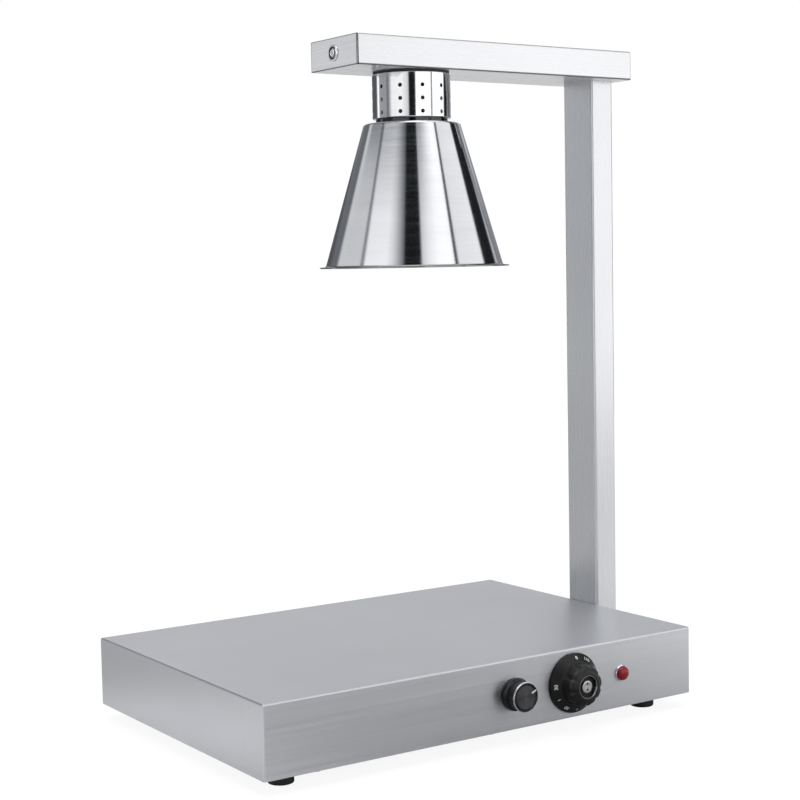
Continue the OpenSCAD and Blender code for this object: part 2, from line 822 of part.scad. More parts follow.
// Earth core with its crimped lug on the earth stud
module earth_wires() {
    turn_y = sheath_end - 4;
    lug_y = inner_rear - nut_h - 2;
    color([0.3, 0.6, 0.15]) {
        cable([[cord_x, sheath_end, earth_z], [cord_x, turn_y, earth_z],
               [earth_x - 7, turn_y, earth_z], [earth_x - 7, lug_y, earth_z]], core_r, 3.5);
        difference() {
            union() {
                translate([earth_x, lug_y, earth_z]) to_rear() cylinder(r = 5, h = 1);
                translate([earth_x - 10, lug_y, earth_z - 3]) cube([10, 1, 6]);
            }
            translate([earth_x, lug_y - eps, earth_z]) to_rear() cylinder(r = stud_hole_r, h = 1 + 2 * eps);
        }
    }
}

// Cable gland with its lock nut inside the rear wall
module cord_gland() {
    nut_r = 12;
    color(black)
    translate([cord_x, rear_y, cord_z]) to_rear() {
        difference() {
            union() {
                translate([0, 0, -9]) cylinder(r = gland_r - fit, h = 10);
                cylinder(r = 11.5, h = 6, $fn = 6);
                translate([0, 0, 6]) cylinder(r = 9.6, h = 5);
                translate([0, 0, 11]) cylinder(r1 = 9.6, r2 = 5.5, h = 5);
            }
            translate([0, 0, -9 - eps]) cylinder(r = cord_r + 0.1, h = 25 + 2 * eps);
        }
        translate([0, 0, -sheet - nut_h]) difference() {
            cylinder(r = nut_r, h = nut_h, $fn = 6);
            translate([0, 0, -eps]) cylinder(r = gland_r, h = nut_h + 2 * eps);
        }
    }
}

// Supply cord: out of the gland, down to the floor and round into a flat hank behind the base
module power_cord() {
    z = cord_floor_z;
    drop_y = rear_y + 37;
    color(black)
    cable([
        [cord_x, sheath_end, cord_z],
        [cord_x, drop_y, cord_z],
        [cord_x, drop_y, z],
        [cord_x, hank_y[1], z],
        [hank_x[0], hank_y[1], z],
        [hank_x[0], hank_y[0], z],
        [hank_x[1] - hank_pitch, hank_y[0], z],
        [hank_x[1] - hank_pitch, hank_y[1] - hank_pitch, z],
        [hank_x[0] + hank_pitch, hank_y[1] - hank_pitch, z],
        [hank_x[0] + hank_pitch, plug_at.y, z],
        [plug_at.x - plug_r - 8, plug_at.y, z]
    ], cord_r, cord_bend);
}

// Angled mains plug lying on its back, pins up
module power_plug() {
    color(black)
    translate([plug_at.x, plug_at.y, 0])
    difference() {
        union() {
            cylinder(r = plug_r, h = plug_h - 2);
            translate([0, 0, plug_h - 2]) cylinder(r1 = plug_r, r2 = plug_r - 2, h = 2);
            translate([-plug_r - 8, -7, 0]) cube([plug_r + 8, 14, 2 * cord_floor_z + 4]);
        }
        for (s = [-1, 1])
            translate([0, s * pin_pitch / 2, plug_h - pin_root])
                cylinder(r = pin_root_r + fit, h = pin_root + eps);
        for (s = [-1, 1]) scale([s, 1, 1])
            translate([plug_r - 2, -clip_w / 2 - fit, plug_h - 7]) cube([4, clip_w + 2 * fit, 9]);
    }
}

// Two round pins on stepped roots, and an earth clip in each side of the plug
module plug_pins() {
    color(brass)
    translate([plug_at.x, plug_at.y, plug_h]) {
        for (s = [-1, 1]) translate([0, s * pin_pitch / 2, 0]) {
            translate([0, 0, -pin_root]) cylinder(r = pin_root_r, h = pin_root + eps);
            cylinder(r = pin_r, h = pin_len);
            translate([0, 0, pin_len]) cylinder(r1 = pin_r, r2 = pin_r - 1, h = 1.2);
        }
        for (s = [-1, 1]) scale([s, 1, 1])
            translate([plug_r - 2, -clip_w / 2, -7]) cube([1, clip_w, 7]);
    }
}

// ---------------------------------------------------------------- post

// Rectangular tube bolted to the outside of the base's right-hand side
module post() {
    color(steel)
    difference() {
        block([right_x, -post_d / 2, base_z], [right_x + post_w, post_d / 2, arm_z]);
        block([right_x + sheet, -post_d / 2 + sheet, base_z - eps],
              [right_x + post_w - sheet, post_d / 2 - sheet, arm_z + eps]);
        post_holes(right_x, sheet);
    }
}

module post_end_plug() {
    gap = sheet + 0.1;
    color(black)
    union() {
        block([right_x, -post_d / 2, base_z - 2], [right_x + post_w, post_d / 2, base_z]);
        block([right_x + gap, -post_d / 2 + gap, base_z],
              [right_x + post_w - gap, post_d / 2 - gap, base_z + 3]);
    }
}

// Stiffening plate inside the base, behind the wall that carries the post
module post_backing_plate() {
    color(steel)
    difference() {
        block([inner_right - backing_t, -30, base_z + 7], [inner_right, 30, base_z + 60]);
        post_holes(inner_right - backing_t, backing_t);
    }
}

// Tapped plates welded inside the post: one at the base joint, one closing its top
module post_tapped_plates() {
    gap = sheet + 0.1;
    color(steel) {
        difference() {
            block([right_x + sheet, -post_d / 2 + gap, base_z + 7],
                  [right_x + sheet + plate_t, post_d / 2 - gap, base_z + 60]);
            post_holes(right_x + sheet, plate_t, m6 / 2);
        }
        difference() {
            block([right_x + gap, -post_d / 2 + gap, arm_z - plate_t],
                  [right_x + post_w - gap, post_d / 2 - gap, arm_z]);
            translate([post_x, 0, arm_z - plate_t]) top_holes(plate_t, m6 / 2);
        }
    }
}

// Holes of the arm joint, through a wall that stands on z = 0
module top_holes(wall, bolt_r = m6 / 2 + loose) {
    for (s = [-1, 1]) translate([0, s * top_bolt_y, 0]) hole(bolt_r, wall);
    hole(grommet_hole_r, wall);
}

// M6 bolts: four through the base wall into the post, two through the arm floor into the post's top
module frame_bolts() {
    color(steel) {
        for (s = [-1, 1], z = post_bolt_z)
            translate([inner_right - backing_t, s * post_bolt_y, z]) to_left() {
                ring(6, m6 / 2, washer_t);
                hex_bolt(m6, 12);
            }
        for (s = [-1, 1]) translate([post_x, s * top_bolt_y, arm_floor_top]) {
            ring(6, m6 / 2, washer_t);
            hex_bolt(m6, 12);
        }
    }
}

// Rubber bushes that line the cable holes at the base and at the arm
module wire_grommets() {
    flange_r = 9;
    flange_t = 2;
    base_wall = backing_t + sheet + sheet + plate_t;
    arm_wall = sheet + plate_t;
    color(black) {
        translate([inner_right - backing_t - flange_t, 0, post_cable_z]) to_right()
            grommet(base_wall, flange_r, flange_t);
        translate([post_x, 0, arm_z - plate_t - flange_t]) grommet(arm_wall, flange_r, flange_t);
    }
}

module grommet(wall, flange_r, flange_t) {
    difference() {
        union() {
            cylinder(r = flange_r, h = flange_t);
            translate([0, 0, flange_t + wall]) cylinder(r = flange_r, h = flange_t);
            cylinder(r = grommet_hole_r - fit, h = wall + 2 * flange_t);
        }
        translate([0, 0, -eps]) cylinder(r = grommet_bore_r, h = wall + 2 * flange_t + 2 * eps);
    }
}

// ---------------------------------------------------------------- arm

// Folded cover: top, two long sides and the right-hand end, with lips along the bottom
module arm_cover() {
    top = arm_z + arm_h;
    left = arm_left + sheet + end_seam;
    color(steel)
    difference() {
        union() {
            difference() {
                block([left, -arm_w / 2, arm_z], [arm_right, arm_w / 2, top]);
                block([left - eps, -arm_w / 2 + sheet, arm_z - eps],
                      [arm_right - sheet, arm_w / 2 - sheet, top - sheet]);
            }
            for (s = [-1, 1]) scale([1, s, 1])
                block([left, arm_w / 2 - sheet - arm_lip_w, arm_floor_top],
                      [arm_right - sheet, arm_w / 2 - sheet, arm_floor_top + sheet]);
        }
        for (p = arm_screw_at) translate([p.x, p.y, arm_floor_top]) hole(m3 / 2);
    }
}

// Floor plate that carries the lamp and sits on the post, with an upturned tab for the end cap
module arm_floor() {
    inset = sheet + seam;
    tab_w = 30;
    tab_t = 2;
    tab_top = arm_z + arm_h - 5;
    tab_x0 = arm_left + sheet;
    color(steel)
    difference() {
        union() {
            block([tab_x0, -arm_w / 2 + inset, arm_z],
                  [arm_right - inset, arm_w / 2 - inset, arm_floor_top]);
            block([tab_x0, -tab_w / 2, arm_z], [tab_x0 + tab_t, tab_w / 2, tab_top]);
        }
        for (p = arm_screw_at) translate([p.x, p.y, arm_z]) flat_screw_hole(m3);
        translate([post_x, 0, arm_z]) top_holes(sheet);
        translate([lamp_x, 0, arm_z]) hole(nipple_r + loose);
        translate([tab_x0, 0, arm_z + arm_h / 2]) to_right() hole(m5 / 2, tab_t);
    }
}

// Flat cap over the free end of the arm
module arm_end_cap() {
    color(steel)
    difference() {
        block([arm_left, -arm_w / 2, arm_z], [arm_left + sheet, arm_w / 2, arm_z + arm_h]);
        translate([arm_left, 0, arm_z + arm_h / 2]) to_right() hole(m5 / 2 + loose);
    }
}

// Pan-head screw in a cup washer at the middle of the end cap
module end_cap_screw() {
    cup_r = 8.6;
    cup_h = 2;
    color(steel)
    translate([arm_left, 0, arm_z + arm_h / 2]) to_left() {
        difference() {
            cylinder(r1 = cup_r, r2 = cup_r - 1.6, h = cup_h);
            translate([0, 0, 0.6]) cylinder(r = 6, h = cup_h);
            translate([0, 0, -eps]) cylinder(r = m5 / 2, h = 4);
        }
        translate([0, 0, 0.6]) pan_screw(m5, 9, 3.9, 2.4);
    }
}

// ---------------------------------------------------------------- lamp

module at_lamp() {
    translate([lamp_x, 0, 0]) children();
}

module neck_gasket() {
    color(black) at_lamp() translate([0, 0, neck_top]) ring(neck_d / 2 - 1, nipple_r + loose, gasket_t);
}

// Spun neck: closed top, three rows of vent holes, and a narrower collar that enters the shade
module neck() {
    r = neck_d / 2;
    w = neck_wall;
    collar_bottom = shade_top - 6;
    color(steel)
    at_lamp()
    difference() {
        rotate_extrude() polygon([
            [nipple_r + loose, neck_top], [r, neck_top], [r, neck_bottom], [collar_r, neck_bottom],
            [collar_r, collar_bottom], [collar_r - w, collar_bottom], [collar_r - w, neck_bottom + w],
            [r - w, neck_bottom + w], [r - w, neck_top - w], [nipple_r + loose, neck_top - w]
        ]);
        for (z = vent_row_z, i = [0:vent_columns - 1])
            rotate(vent_phase + i * 360 / vent_columns) translate([r - 5, 0, z]) to_right()
                cylinder(r = vent_d / 2, h = 10);
    }
}

// Spun conical shade with a rounded shoulder and a flat turned-out rim
module shade() {
    t = 0.8;
    cone_t = t / cos(atan((cone_d - shoulder_d) / 2 / shade_h));
    top = shade_top;
    low = shade_bottom;
    s = shoulder_d / 2;
    c = cone_d / 2;
    hole_r = collar_r + 0.1;
    rim_t = 1.4;
    color(steel)
    at_lamp()
    rotate_extrude() polygon([
        [hole_r, top], [s - 2.6, top], [s - 1, top - 0.6], [s, top - 2.2],
        [c, low + rim_t + 1], [c + 1, low + rim_t], [rim_d / 2, low + rim_t], [rim_d / 2, low],
        [c, low], [c - cone_t, low + rim_t],
        [s - cone_t, top - 2.4], [s - cone_t - 1.4, top - t], [hole_r, top - t]
    ]);
}

// Ring nut on the collar, clamping the shade from inside
module shade_ring() {
    color(steel) at_lamp() translate([0, 0, shade_top - 4.8]) ring(44, collar_r + fit, 4);
}

module lamp_nipple() {
    color(brass) at_lamp() translate([0, 0, nipple_bottom])
        ring(nipple_r - fit, nipple_bore_r, nipple_top - nipple_bottom);
}

// Thin M10 nuts on the nipple: above the arm floor, under the neck and under the socket bracket
module nipple_nuts() {
    color(brass) at_lamp()
        for (z = [arm_floor_top, neck_top - neck_wall - nut_h, bracket_z - nut_h])
            translate([0, 0, z]) m10_nut();
}

// Lamp cable: block, base wall, up the post, along the arm and down the nipple
module lamp_cable() {
    color("whitesmoke")
    cable([
        [pole_x[4], block_at.y, pole_z],
        [pole_x[4], 0, pole_z],
        [232, 0, pole_z],
        [232, 0, post_cable_z],
        [post_x, 0, post_cable_z],
        [post_x, 0, arm_cable_z],
        [lamp_x, 0, arm_cable_z],
        [lamp_x, 0, socket_top]
    ], cable_r, cable_bend);
}

// Strap that hangs the socket from the nipple
module socket_bracket() {
    t = 1.5;
    leg_x = socket_r;
    leg_bottom = socket_top - 12;
    color(steel)
    at_lamp()
    difference() {
        union() {
            block([-leg_x - t, -7, bracket_z], [leg_x + t, 7, bracket_z + t]);
            for (s = [-1, 1]) scale([s, 1, 1])
                block([leg_x, -7, leg_bottom], [leg_x + t, 7, bracket_z + t]);
        }
        translate([0, 0, bracket_z - eps]) cylinder(r = nipple_r + loose, h = t + 2 * eps);
    }
}

// Ceramic lamp holder, open below
module socket_body() {
    color("ivory")
    at_lamp()
    difference() {
        translate([0, 0, socket_top - socket_len]) cylinder(r = socket_r, h = socket_len);
        translate([0, 0, socket_top - socket_len - eps])
            cylinder(r = socket_bore_r, h = socket_len - socket_crown + eps);
        translate([0, 0, socket_top - socket_crown - eps]) cylinder(r = 2, h = 8);
    }
}

// Threaded brass liner and its centre contact
module socket_shell() {
    top = socket_top - socket_crown;
    color(brass)
    at_lamp() {
        translate([0, 0, top - 30]) ring(socket_bore_r - fit, cap_r + 0.1, 29);
        translate([0, 0, cap_top + 2]) cylinder(r = 3.5, h = top - cap_top - 2);
    }
}

// Outline of the reflector bulb, drawn in by an amount all over
function bulb_outline(inset) = let (
    neck_r = cap_inner_r - fit - inset,
    flare_r = neck_r + 4,
    r = bulb_r - inset,
    face = bulb_face + inset
) [
    [neck_r, cap_bottom + 2], [neck_r, cap_bottom - 10], [flare_r, cap_bottom - 22],
    for (a = [8:15:83]) [flare_r + (r - flare_r) * sin(a), bulb_face + 36 + 56 * cos(a)],
    [r, bulb_face + 26],
    for (a = [0:15:75]) [r - 10 + 10 * cos(a), face + 18 - 10 * sin(a)],
    [r - 22, face + 3], [0, face]
];

// Blown glass envelope of an infrared reflector bulb, open at its neck
module bulb_glass() {
    wall = 1.2;
    inner = bulb_outline(wall);
    color([0.85, 0.86, 0.88, 0.5])
    at_lamp()
    rotate_extrude() polygon(concat(bulb_outline(0), [for (i = [len(inner) - 1:-1:0]) inner[i]]));
}

// Screw cap with rolled threads, closed above by its contact button
module bulb_cap() {
    groove = 0.35;
    turns = 5;
    pitch = 3.6;
    color(brass)
    at_lamp() {
        difference() {
            union() {
                translate([0, 0, cap_bottom]) cylinder(r = cap_r - groove, h = 20);
                for (i = [0:turns - 1])
                    translate([0, 0, cap_bottom + 1.2 + pitch * i]) cylinder(r = cap_r, h = 1.8);
                translate([0, 0, cap_bottom + 20]) cylinder(r1 = cap_r - groove, r2 = 6, h = 4);
                translate([0, 0, cap_bottom + 24]) cylinder(r = 4.5, h = 2);
            }
            translate([0, 0, cap_bottom - eps]) cylinder(r = cap_inner_r, h = 20 + eps);
        }
    }
}

// Glass stem, two support wires and the filament bar
module bulb_filament() {
    stem_top = cap_bottom + 19;
    stem_bottom = cap_bottom - 20;
    filament_z = bulb_face + 62;
    color("whitesmoke")
    at_lamp()
    union() {
        translate([0, 0, stem_bottom]) cylinder(r = 5, h = stem_top - stem_bottom);
        for (s = [-1, 1])
            translate([3 * s, 0, filament_z]) cylinder(r = 0.5, h = stem_bottom - filament_z + eps);
        translate([-9, 0, filament_z]) to_right() cylinder(r = 1, h = 18);
    }
}

// ---------------------------------------------------------------- assembly

base_casing();
bottom_cover();
casing_screws();
rubber_feet();
foot_screws();
lock_nuts();
heat_spreader();
heater_mat();
insulation_blanket();
heater_clamp();
weld_studs();
thermostat_body();
thermostat_screws();
thermostat_capillary();
capillary_clips();
thermostat_spindle();
thermostat_dial();
dial_trim_ring();
dial_screw();
dimmer_body();
dimmer_spindle();
dimmer_knob();
knob_trim_ring();
knob_pointer();
pilot_holder();
pilot_lens();
panel_nuts();
terminal_block();
terminal_screws();
live_wires();
neutral_wires();
earth_wires();
cord_gland();
power_cord();
power_plug();
plug_pins();
post();
post_end_plug();
post_backing_plate();
post_tapped_plates();
frame_bolts();
wire_grommets();
arm_cover();
arm_floor();
arm_end_cap();
end_cap_screw();
neck_gasket();
neck();
shade();
shade_ring();
lamp_nipple();
nipple_nuts();
lamp_cable();
socket_bracket();
socket_body();
socket_shell();
bulb_glass();
bulb_cap();
bulb_filament();
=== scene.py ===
"""Looks of a counter-top heat lamp warmer, built around its CAD frame. Metres, +Z up, +X to the post."""

import json
import math

import bmesh
import bpy
from mathutils import Matrix, Vector


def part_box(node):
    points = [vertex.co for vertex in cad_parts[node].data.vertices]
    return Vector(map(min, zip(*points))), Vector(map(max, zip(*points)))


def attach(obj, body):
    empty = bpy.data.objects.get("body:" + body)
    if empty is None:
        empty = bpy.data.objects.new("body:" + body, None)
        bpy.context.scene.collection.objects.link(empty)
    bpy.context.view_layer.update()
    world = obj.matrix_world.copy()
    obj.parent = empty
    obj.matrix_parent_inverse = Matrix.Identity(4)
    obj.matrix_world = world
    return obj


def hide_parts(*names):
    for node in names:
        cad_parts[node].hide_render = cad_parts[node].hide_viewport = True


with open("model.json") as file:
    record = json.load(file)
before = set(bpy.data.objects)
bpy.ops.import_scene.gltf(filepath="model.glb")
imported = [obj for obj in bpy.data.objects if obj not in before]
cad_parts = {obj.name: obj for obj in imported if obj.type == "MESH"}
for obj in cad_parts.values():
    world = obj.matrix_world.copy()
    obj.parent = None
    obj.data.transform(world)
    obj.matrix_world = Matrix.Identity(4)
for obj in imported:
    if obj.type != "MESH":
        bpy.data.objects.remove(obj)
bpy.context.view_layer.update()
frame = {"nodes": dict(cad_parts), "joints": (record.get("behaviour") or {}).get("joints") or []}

MM = 0.001
CHASSIS, DIAL, DIMMER = "chassis", "heat_dial", "lamp_dimmer"
JOINT_AT = {joint["name"]: Vector(joint["pos_m"]) for joint in frame["joints"]}

# ---------------------------------------------------------------- measures taken from the frame

casing_low, casing_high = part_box("base_casing")
post_low, post_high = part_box("post")
arm_low, arm_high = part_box("arm_cover")
cap_low, cap_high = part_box("arm_end_cap")
neck_low, neck_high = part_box("neck")
shade_low, shade_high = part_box("shade")
gasket_low, gasket_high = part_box("neck_gasket")
cord_low, cord_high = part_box("power_cord")
plug_low, plug_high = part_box("power_plug")
gland_low, gland_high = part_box("cord_gland")
lens_low, lens_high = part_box("pilot_lens")
bezel_low, bezel_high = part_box("pilot_holder")
dial_low, dial_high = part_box("thermostat_dial")
knob_low, knob_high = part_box("dimmer_knob")

lamp_centre = (neck_low + neck_high) / 2
lamp_centre.z = 0
neck_r = (neck_high.x - neck_low.x) / 2
rim_r = (shade_high.x - shade_low.x) / 2
lens_x = (lens_low.x + lens_high.x) / 2
panel_z = JOINT_AT["dial_turn"].z
front_y = casing_low.y
NECK_STEP = gasket_high.z - 48.5 * MM
SHEET = 1.2 * MM


# ---------------------------------------------------------------- mesh helpers

def fillet(points, segments=5):
    """Closed outline of (x, y) or (x, y, radius) corners; a corner with a radius is rounded by an arc."""
    out = []
    for i, point in enumerate(points):
        here = Vector(point[:2])
        if len(point) < 3:
            out.append(here)
            continue
        before = Vector(points[i - 1][:2]) - here
        after = Vector(points[(i + 1) % len(points)][:2]) - here
        half = before.angle(after) / 2
        reach = min(point[2] / math.tan(half), before.length * 0.49, after.length * 0.49)
        radius = reach * math.tan(half)
        sign = 1 if before.cross(after) < 0 else -1
        centre = here + (before.normalized() + after.normalized()).normalized() * (radius / math.sin(half))
        start = here + before.normalized() * reach - centre
        for k in range(segments + 1):
            turn = sign * (math.pi - 2 * half) * k / segments
            out.append(centre + Matrix.Rotation(turn, 2) @ start)
    return out


def loft(bm, loops, wrap=False):
    """Quads between loops of equal length. The ends are capped, or joined to each other if wrap is set."""
    rings = [[bm.verts.new(p) for p in loop] for loop in loops]
    pairs = list(zip(rings, rings[1:])) + ([(rings[-1], rings[0])] if wrap else [])
    for low, high in pairs:
        for i in range(len(low)):
            j = (i + 1) % len(low)
            bm.faces.new((low[i], low[j], high[j], high[i]))
    if not wrap:
        bm.faces.new(list(reversed(rings[0])))
        bm.faces.new(rings[-1])
    return bm


def lathe(outline, segments=96, swell=None):
    """Solid of revolution about +Z. outline is a closed list of (radius, height); radius 0 is a pole.
    swell(angle, radius, height) gives the radius to use instead, for flutes and lobes."""
    bm = bmesh.new()
    rings = []
    for radius, height in outline:
        if radius < 1e-7:
            rings.append([bm.verts.new((0, 0, height))])
            continue
        ring = []
        for k in range(segments):
            angle = 2 * math.pi * k / segments
            r = swell(angle, radius, height) if swell else radius
            ring.append(bm.verts.new((r * math.cos(angle), r * math.sin(angle), height)))
        rings.append(ring)
    for low, high in zip(rings, rings[1:] + rings[:1]):
        for k in range(segments):
            j = (k + 1) % segments
            corners = [low[k % len(low)], low[j % len(low)], high[j % len(high)], high[k % len(high)]]
            unique = list(dict.fromkeys(corners))
            if len(unique) > 2:
                bm.faces.new(unique)
    return bm


def rounded_loop(low, high, inset, z, corner, segments=6):
    """Rounded rectangle at height z between the corners low and high, drawn in by inset."""
    radius = max(corner - inset, 0.3 * MM)
    loop = []
    for cx, cy, first in ((1, 1, 0), (-1, 1, 90), (-1, -1, 180), (1, -1, 270)):
        x = (high.x if cx > 0 else low.x) - cx * (inset + radius)
        y = (high.y if cy > 0 else low.y) - cy * (inset + radius)
        for k in range(segments + 1):
            angle = math.radians(first + 90 * k / segments)
            loop.append(Vector((x + radius * math.cos(angle), y + radius * math.sin(angle), z)))
    return loop


def folded_box(low, high, bend, corner, lip, lip_gap, segments=6):
    """Tray of folded sheet, open below: top, four sides, and lips turned in just above the bottom edge."""
    bm = bmesh.new()
    lip_low = low.z + lip_gap
    steps = [math.radians(90 * k / segments) for k in range(segments + 1)]
    inner = bend - SHEET
    path = [(SHEET + inner * (1 - math.cos(a)), high.z - bend + inner * math.sin(a)) for a in reversed(steps)]
    path += [(SHEET, lip_low + SHEET), (SHEET + lip, lip_low + SHEET), (SHEET + lip, lip_low)]
    path += [(SHEET, lip_low), (SHEET, low.z), (0, low.z)]
    path += [(bend * (1 - math.cos(a)), high.z - bend + bend * math.sin(a)) for a in steps]
    return loft(bm, [rounded_loop(low, high, inset, z, corner) for inset, z in path])


def box_mesh(low, high, bevel=0.0, segments=3):
    """Box from low to high with every edge rounded."""
    bm = bmesh.new()
    bmesh.ops.create_cube(bm, size=1)
    for v in bm.verts:
        v.co = Vector(((high[i] if v.co[i] > 0 else low[i]) for i in range(3)))
    if bevel:
        bmesh.ops.bevel(bm, geom=bm.edges[:], offset=bevel, segments=segments, profile=0.5, affect="EDGES")
    return bm


def moved(bm, matrix):
    bmesh.ops.transform(bm, matrix=matrix, verts=bm.verts)
    return bm


def joined(*parts):
    """One bmesh that holds all the parts."""
    out = bmesh.new()
    for part in parts:
        mesh = bpy.data.meshes.new("part")
        part.to_mesh(mesh)
        out.from_mesh(mesh)
        bpy.data.meshes.remove(mesh)
        part.free()
    return out


def rod(start, end, radius, segments=24):
    """Plain cylinder from start to end, used as a cutter."""
    start, end = Vector(start), Vector(end)
    axis = end - start
    bm = lathe([(0, 0), (radius, 0), (radius, axis.length), (0, axis.length)], segments)
    return moved(bm, Matrix.Translation(start) @ axis.to_track_quat("Z", "Y").to_matrix().to_4x4())


def cut(bm, *cutters):
    """bm with the cutters taken out of it."""
    objects = []
    for name, shape in (("cut_body", bm), ("cut_tool", joined(*cutters))):
        bmesh.ops.recalc_face_normals(shape, faces=shape.faces)
        mesh = bpy.data.meshes.new(name)
        shape.to_mesh(mesh)
        shape.free()
        objects.append(bpy.data.objects.new(name, mesh))
        bpy.context.scene.collection.objects.link(objects[-1])
    body, tool = objects
    modifier = body.modifiers.new("cut", "BOOLEAN")
    modifier.operation = "DIFFERENCE"
    modifier.solver = "EXACT"
    modifier.object = tool
    bpy.context.view_layer.update()
    out = bmesh.new()
    out.from_mesh(body.evaluated_get(bpy.context.evaluated_depsgraph_get()).to_mesh())
    for obj in objects:
        mesh = obj.data
        bpy.data.objects.remove(obj)
        bpy.data.meshes.remove(mesh)
    bmesh.ops.remove_doubles(out, verts=out.verts, dist=1e-6)
    return out


def smooth_group():
    """Geometry nodes that merge split points and shade smooth, but keep edges above 32 degrees hard."""
    group = bpy.data.node_groups.new("smooth_by_angle", "GeometryNodeTree")
    for way in ("INPUT", "OUTPUT"):
        group.interface.new_socket("Geometry", in_out=way, socket_type="NodeSocketGeometry")
    start = group.nodes.new("NodeGroupInput")
    merge = group.nodes.new("GeometryNodeMergeByDistance")
    merge.inputs["Distance"].default_value = 1e-6
    soft = group.nodes.new("GeometryNodeSetShadeSmooth")
    angle = group.nodes.new("GeometryNodeInputMeshEdgeAngle")
    compare = group.nodes.new("FunctionNodeCompare")
    compare.operation = "GREATER_THAN"
    compare.inputs["B"].default_value = math.radians(32)
    hard = group.nodes.new("GeometryNodeSetShadeSmooth")
    hard.domain = "EDGE"
    hard.inputs["Shade Smooth"].default_value = False
    end = group.nodes.new("NodeGroupOutput")
    link = group.links.new
    link(start.outputs[0], merge.inputs["Geometry"])
    link(merge.outputs[0], soft.inputs["Geometry"])
    link(soft.outputs[0], hard.inputs["Geometry"])
    link(angle.outputs["Unsigned Angle"], compare.inputs["A"])
    link(compare.outputs["Result"], hard.inputs["Selection"])
    link(hard.outputs[0], end.inputs[0])
    return group


SMOOTH = smooth_group()


def shade(obj, bevel=0.0):
    """Smooth shading with crisp edges; bevel rounds the sharp edges in real geometry."""
    obj.modifiers.new("smooth", "NODES").node_group = SMOOTH
    if bevel:
        flat = obj.modifiers.new("flat", "DECIMATE")
        flat.decimate_type = "DISSOLVE"
        flat.angle_limit = math.radians(0.5)
        edge = obj.modifiers.new("edge", "BEVEL")
        edge.width = bevel
        edge.segments = 2
        edge.limit_method = "ANGLE"
        edge.angle_limit = math.radians(32)
    weight = obj.modifiers.new("weight", "WEIGHTED_NORMAL")
    weight.keep_sharp = True


def piece(name, bm, material, body, slot, *stands_for):
    """Turns bm into a piece of the object that rides on a body and stands for some CAD nodes."""
    bmesh.ops.recalc_face_normals(bm, faces=bm.faces)
    mesh = bpy.data.meshes.new(name)
    bm.to_mesh(mesh)
    bm.free()
    obj = bpy.data.objects.new(name, mesh)
    bpy.context.scene.collection.objects.link(obj)
    mesh.materials.append(material)
    shade(obj)
    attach(obj, body)
    if stands_for:
        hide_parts(*stands_for)
    return obj


# ---------------------------------------------------------------- material helpers

def new_material(name):
    material = bpy.data.materials.new(name)
    material.use_nodes = True
    return material, material.node_tree, material.node_tree.nodes["Principled BSDF"]


def add(tree, kind, inputs=None, **settings):
    """New node with its settings, whose inputs are values or other nodes' outputs."""
    node = tree.nodes.new(kind)
    for key, value in settings.items():
        setattr(node, key, value)
    for key, value in (inputs or {}).items():
        if isinstance(value, bpy.types.NodeSocket):
            tree.links.new(value, node.inputs[key])
        else:
            node.inputs[key].default_value = value
    return node


def feed(tree, node, **values):
    """Sets or links a node's inputs; underscores in a name stand for spaces."""
    for key, value in values.items():
        socket = node.inputs[key.replace("_", " ")]
        if isinstance(value, bpy.types.NodeSocket):
            tree.links.new(value, socket)
        else:
            socket.default_value = value


def calc(tree, operation, a, b=0.0, c=0.0):
    return add(tree, "ShaderNodeMath", {0: a, 1: b, 2: c}, operation=operation).outputs[0]


def remap(tree, value, low, high, to_low, to_high, smooth=False):
    kind = "SMOOTHSTEP" if smooth else "LINEAR"
    inputs = {"Value": value, "From Min": low, "From Max": high, "To Min": to_low, "To Max": to_high}
    return add(tree, "ShaderNodeMapRange", inputs, interpolation_type=kind).outputs[0]


def split(tree, vector):
    """The x, y and z of a vector."""
    return add(tree, "ShaderNodeSeparateXYZ", {0: vector}).outputs


def place_of(tree, stretch=(1, 1, 1)):
    """Object coordinates in metres, stretched."""
    coords = add(tree, "ShaderNodeTexCoord").outputs["Object"]
    return add(tree, "ShaderNodeVectorMath", {0: coords, 1: stretch}, operation="MULTIPLY").outputs[0]


def noise(tree, vector, scale, detail=3.0, roughness=0.55):
    inputs = {"Vector": vector, "Scale": scale, "Detail": detail, "Roughness": roughness}
    return add(tree, "ShaderNodeTexNoise", inputs).outputs[0]


def blend_colour(tree, factor, a, b):
    inputs = {0: factor, 6: (*a, 1), 7: (*b, 1)}
    return add(tree, "ShaderNodeMix", inputs, data_type="RGBA").outputs[2]


def bump(tree, height, strength, distance):
    inputs = {"Height": height, "Strength": strength, "Distance": distance}
    return add(tree, "ShaderNodeBump", inputs).outputs[0]


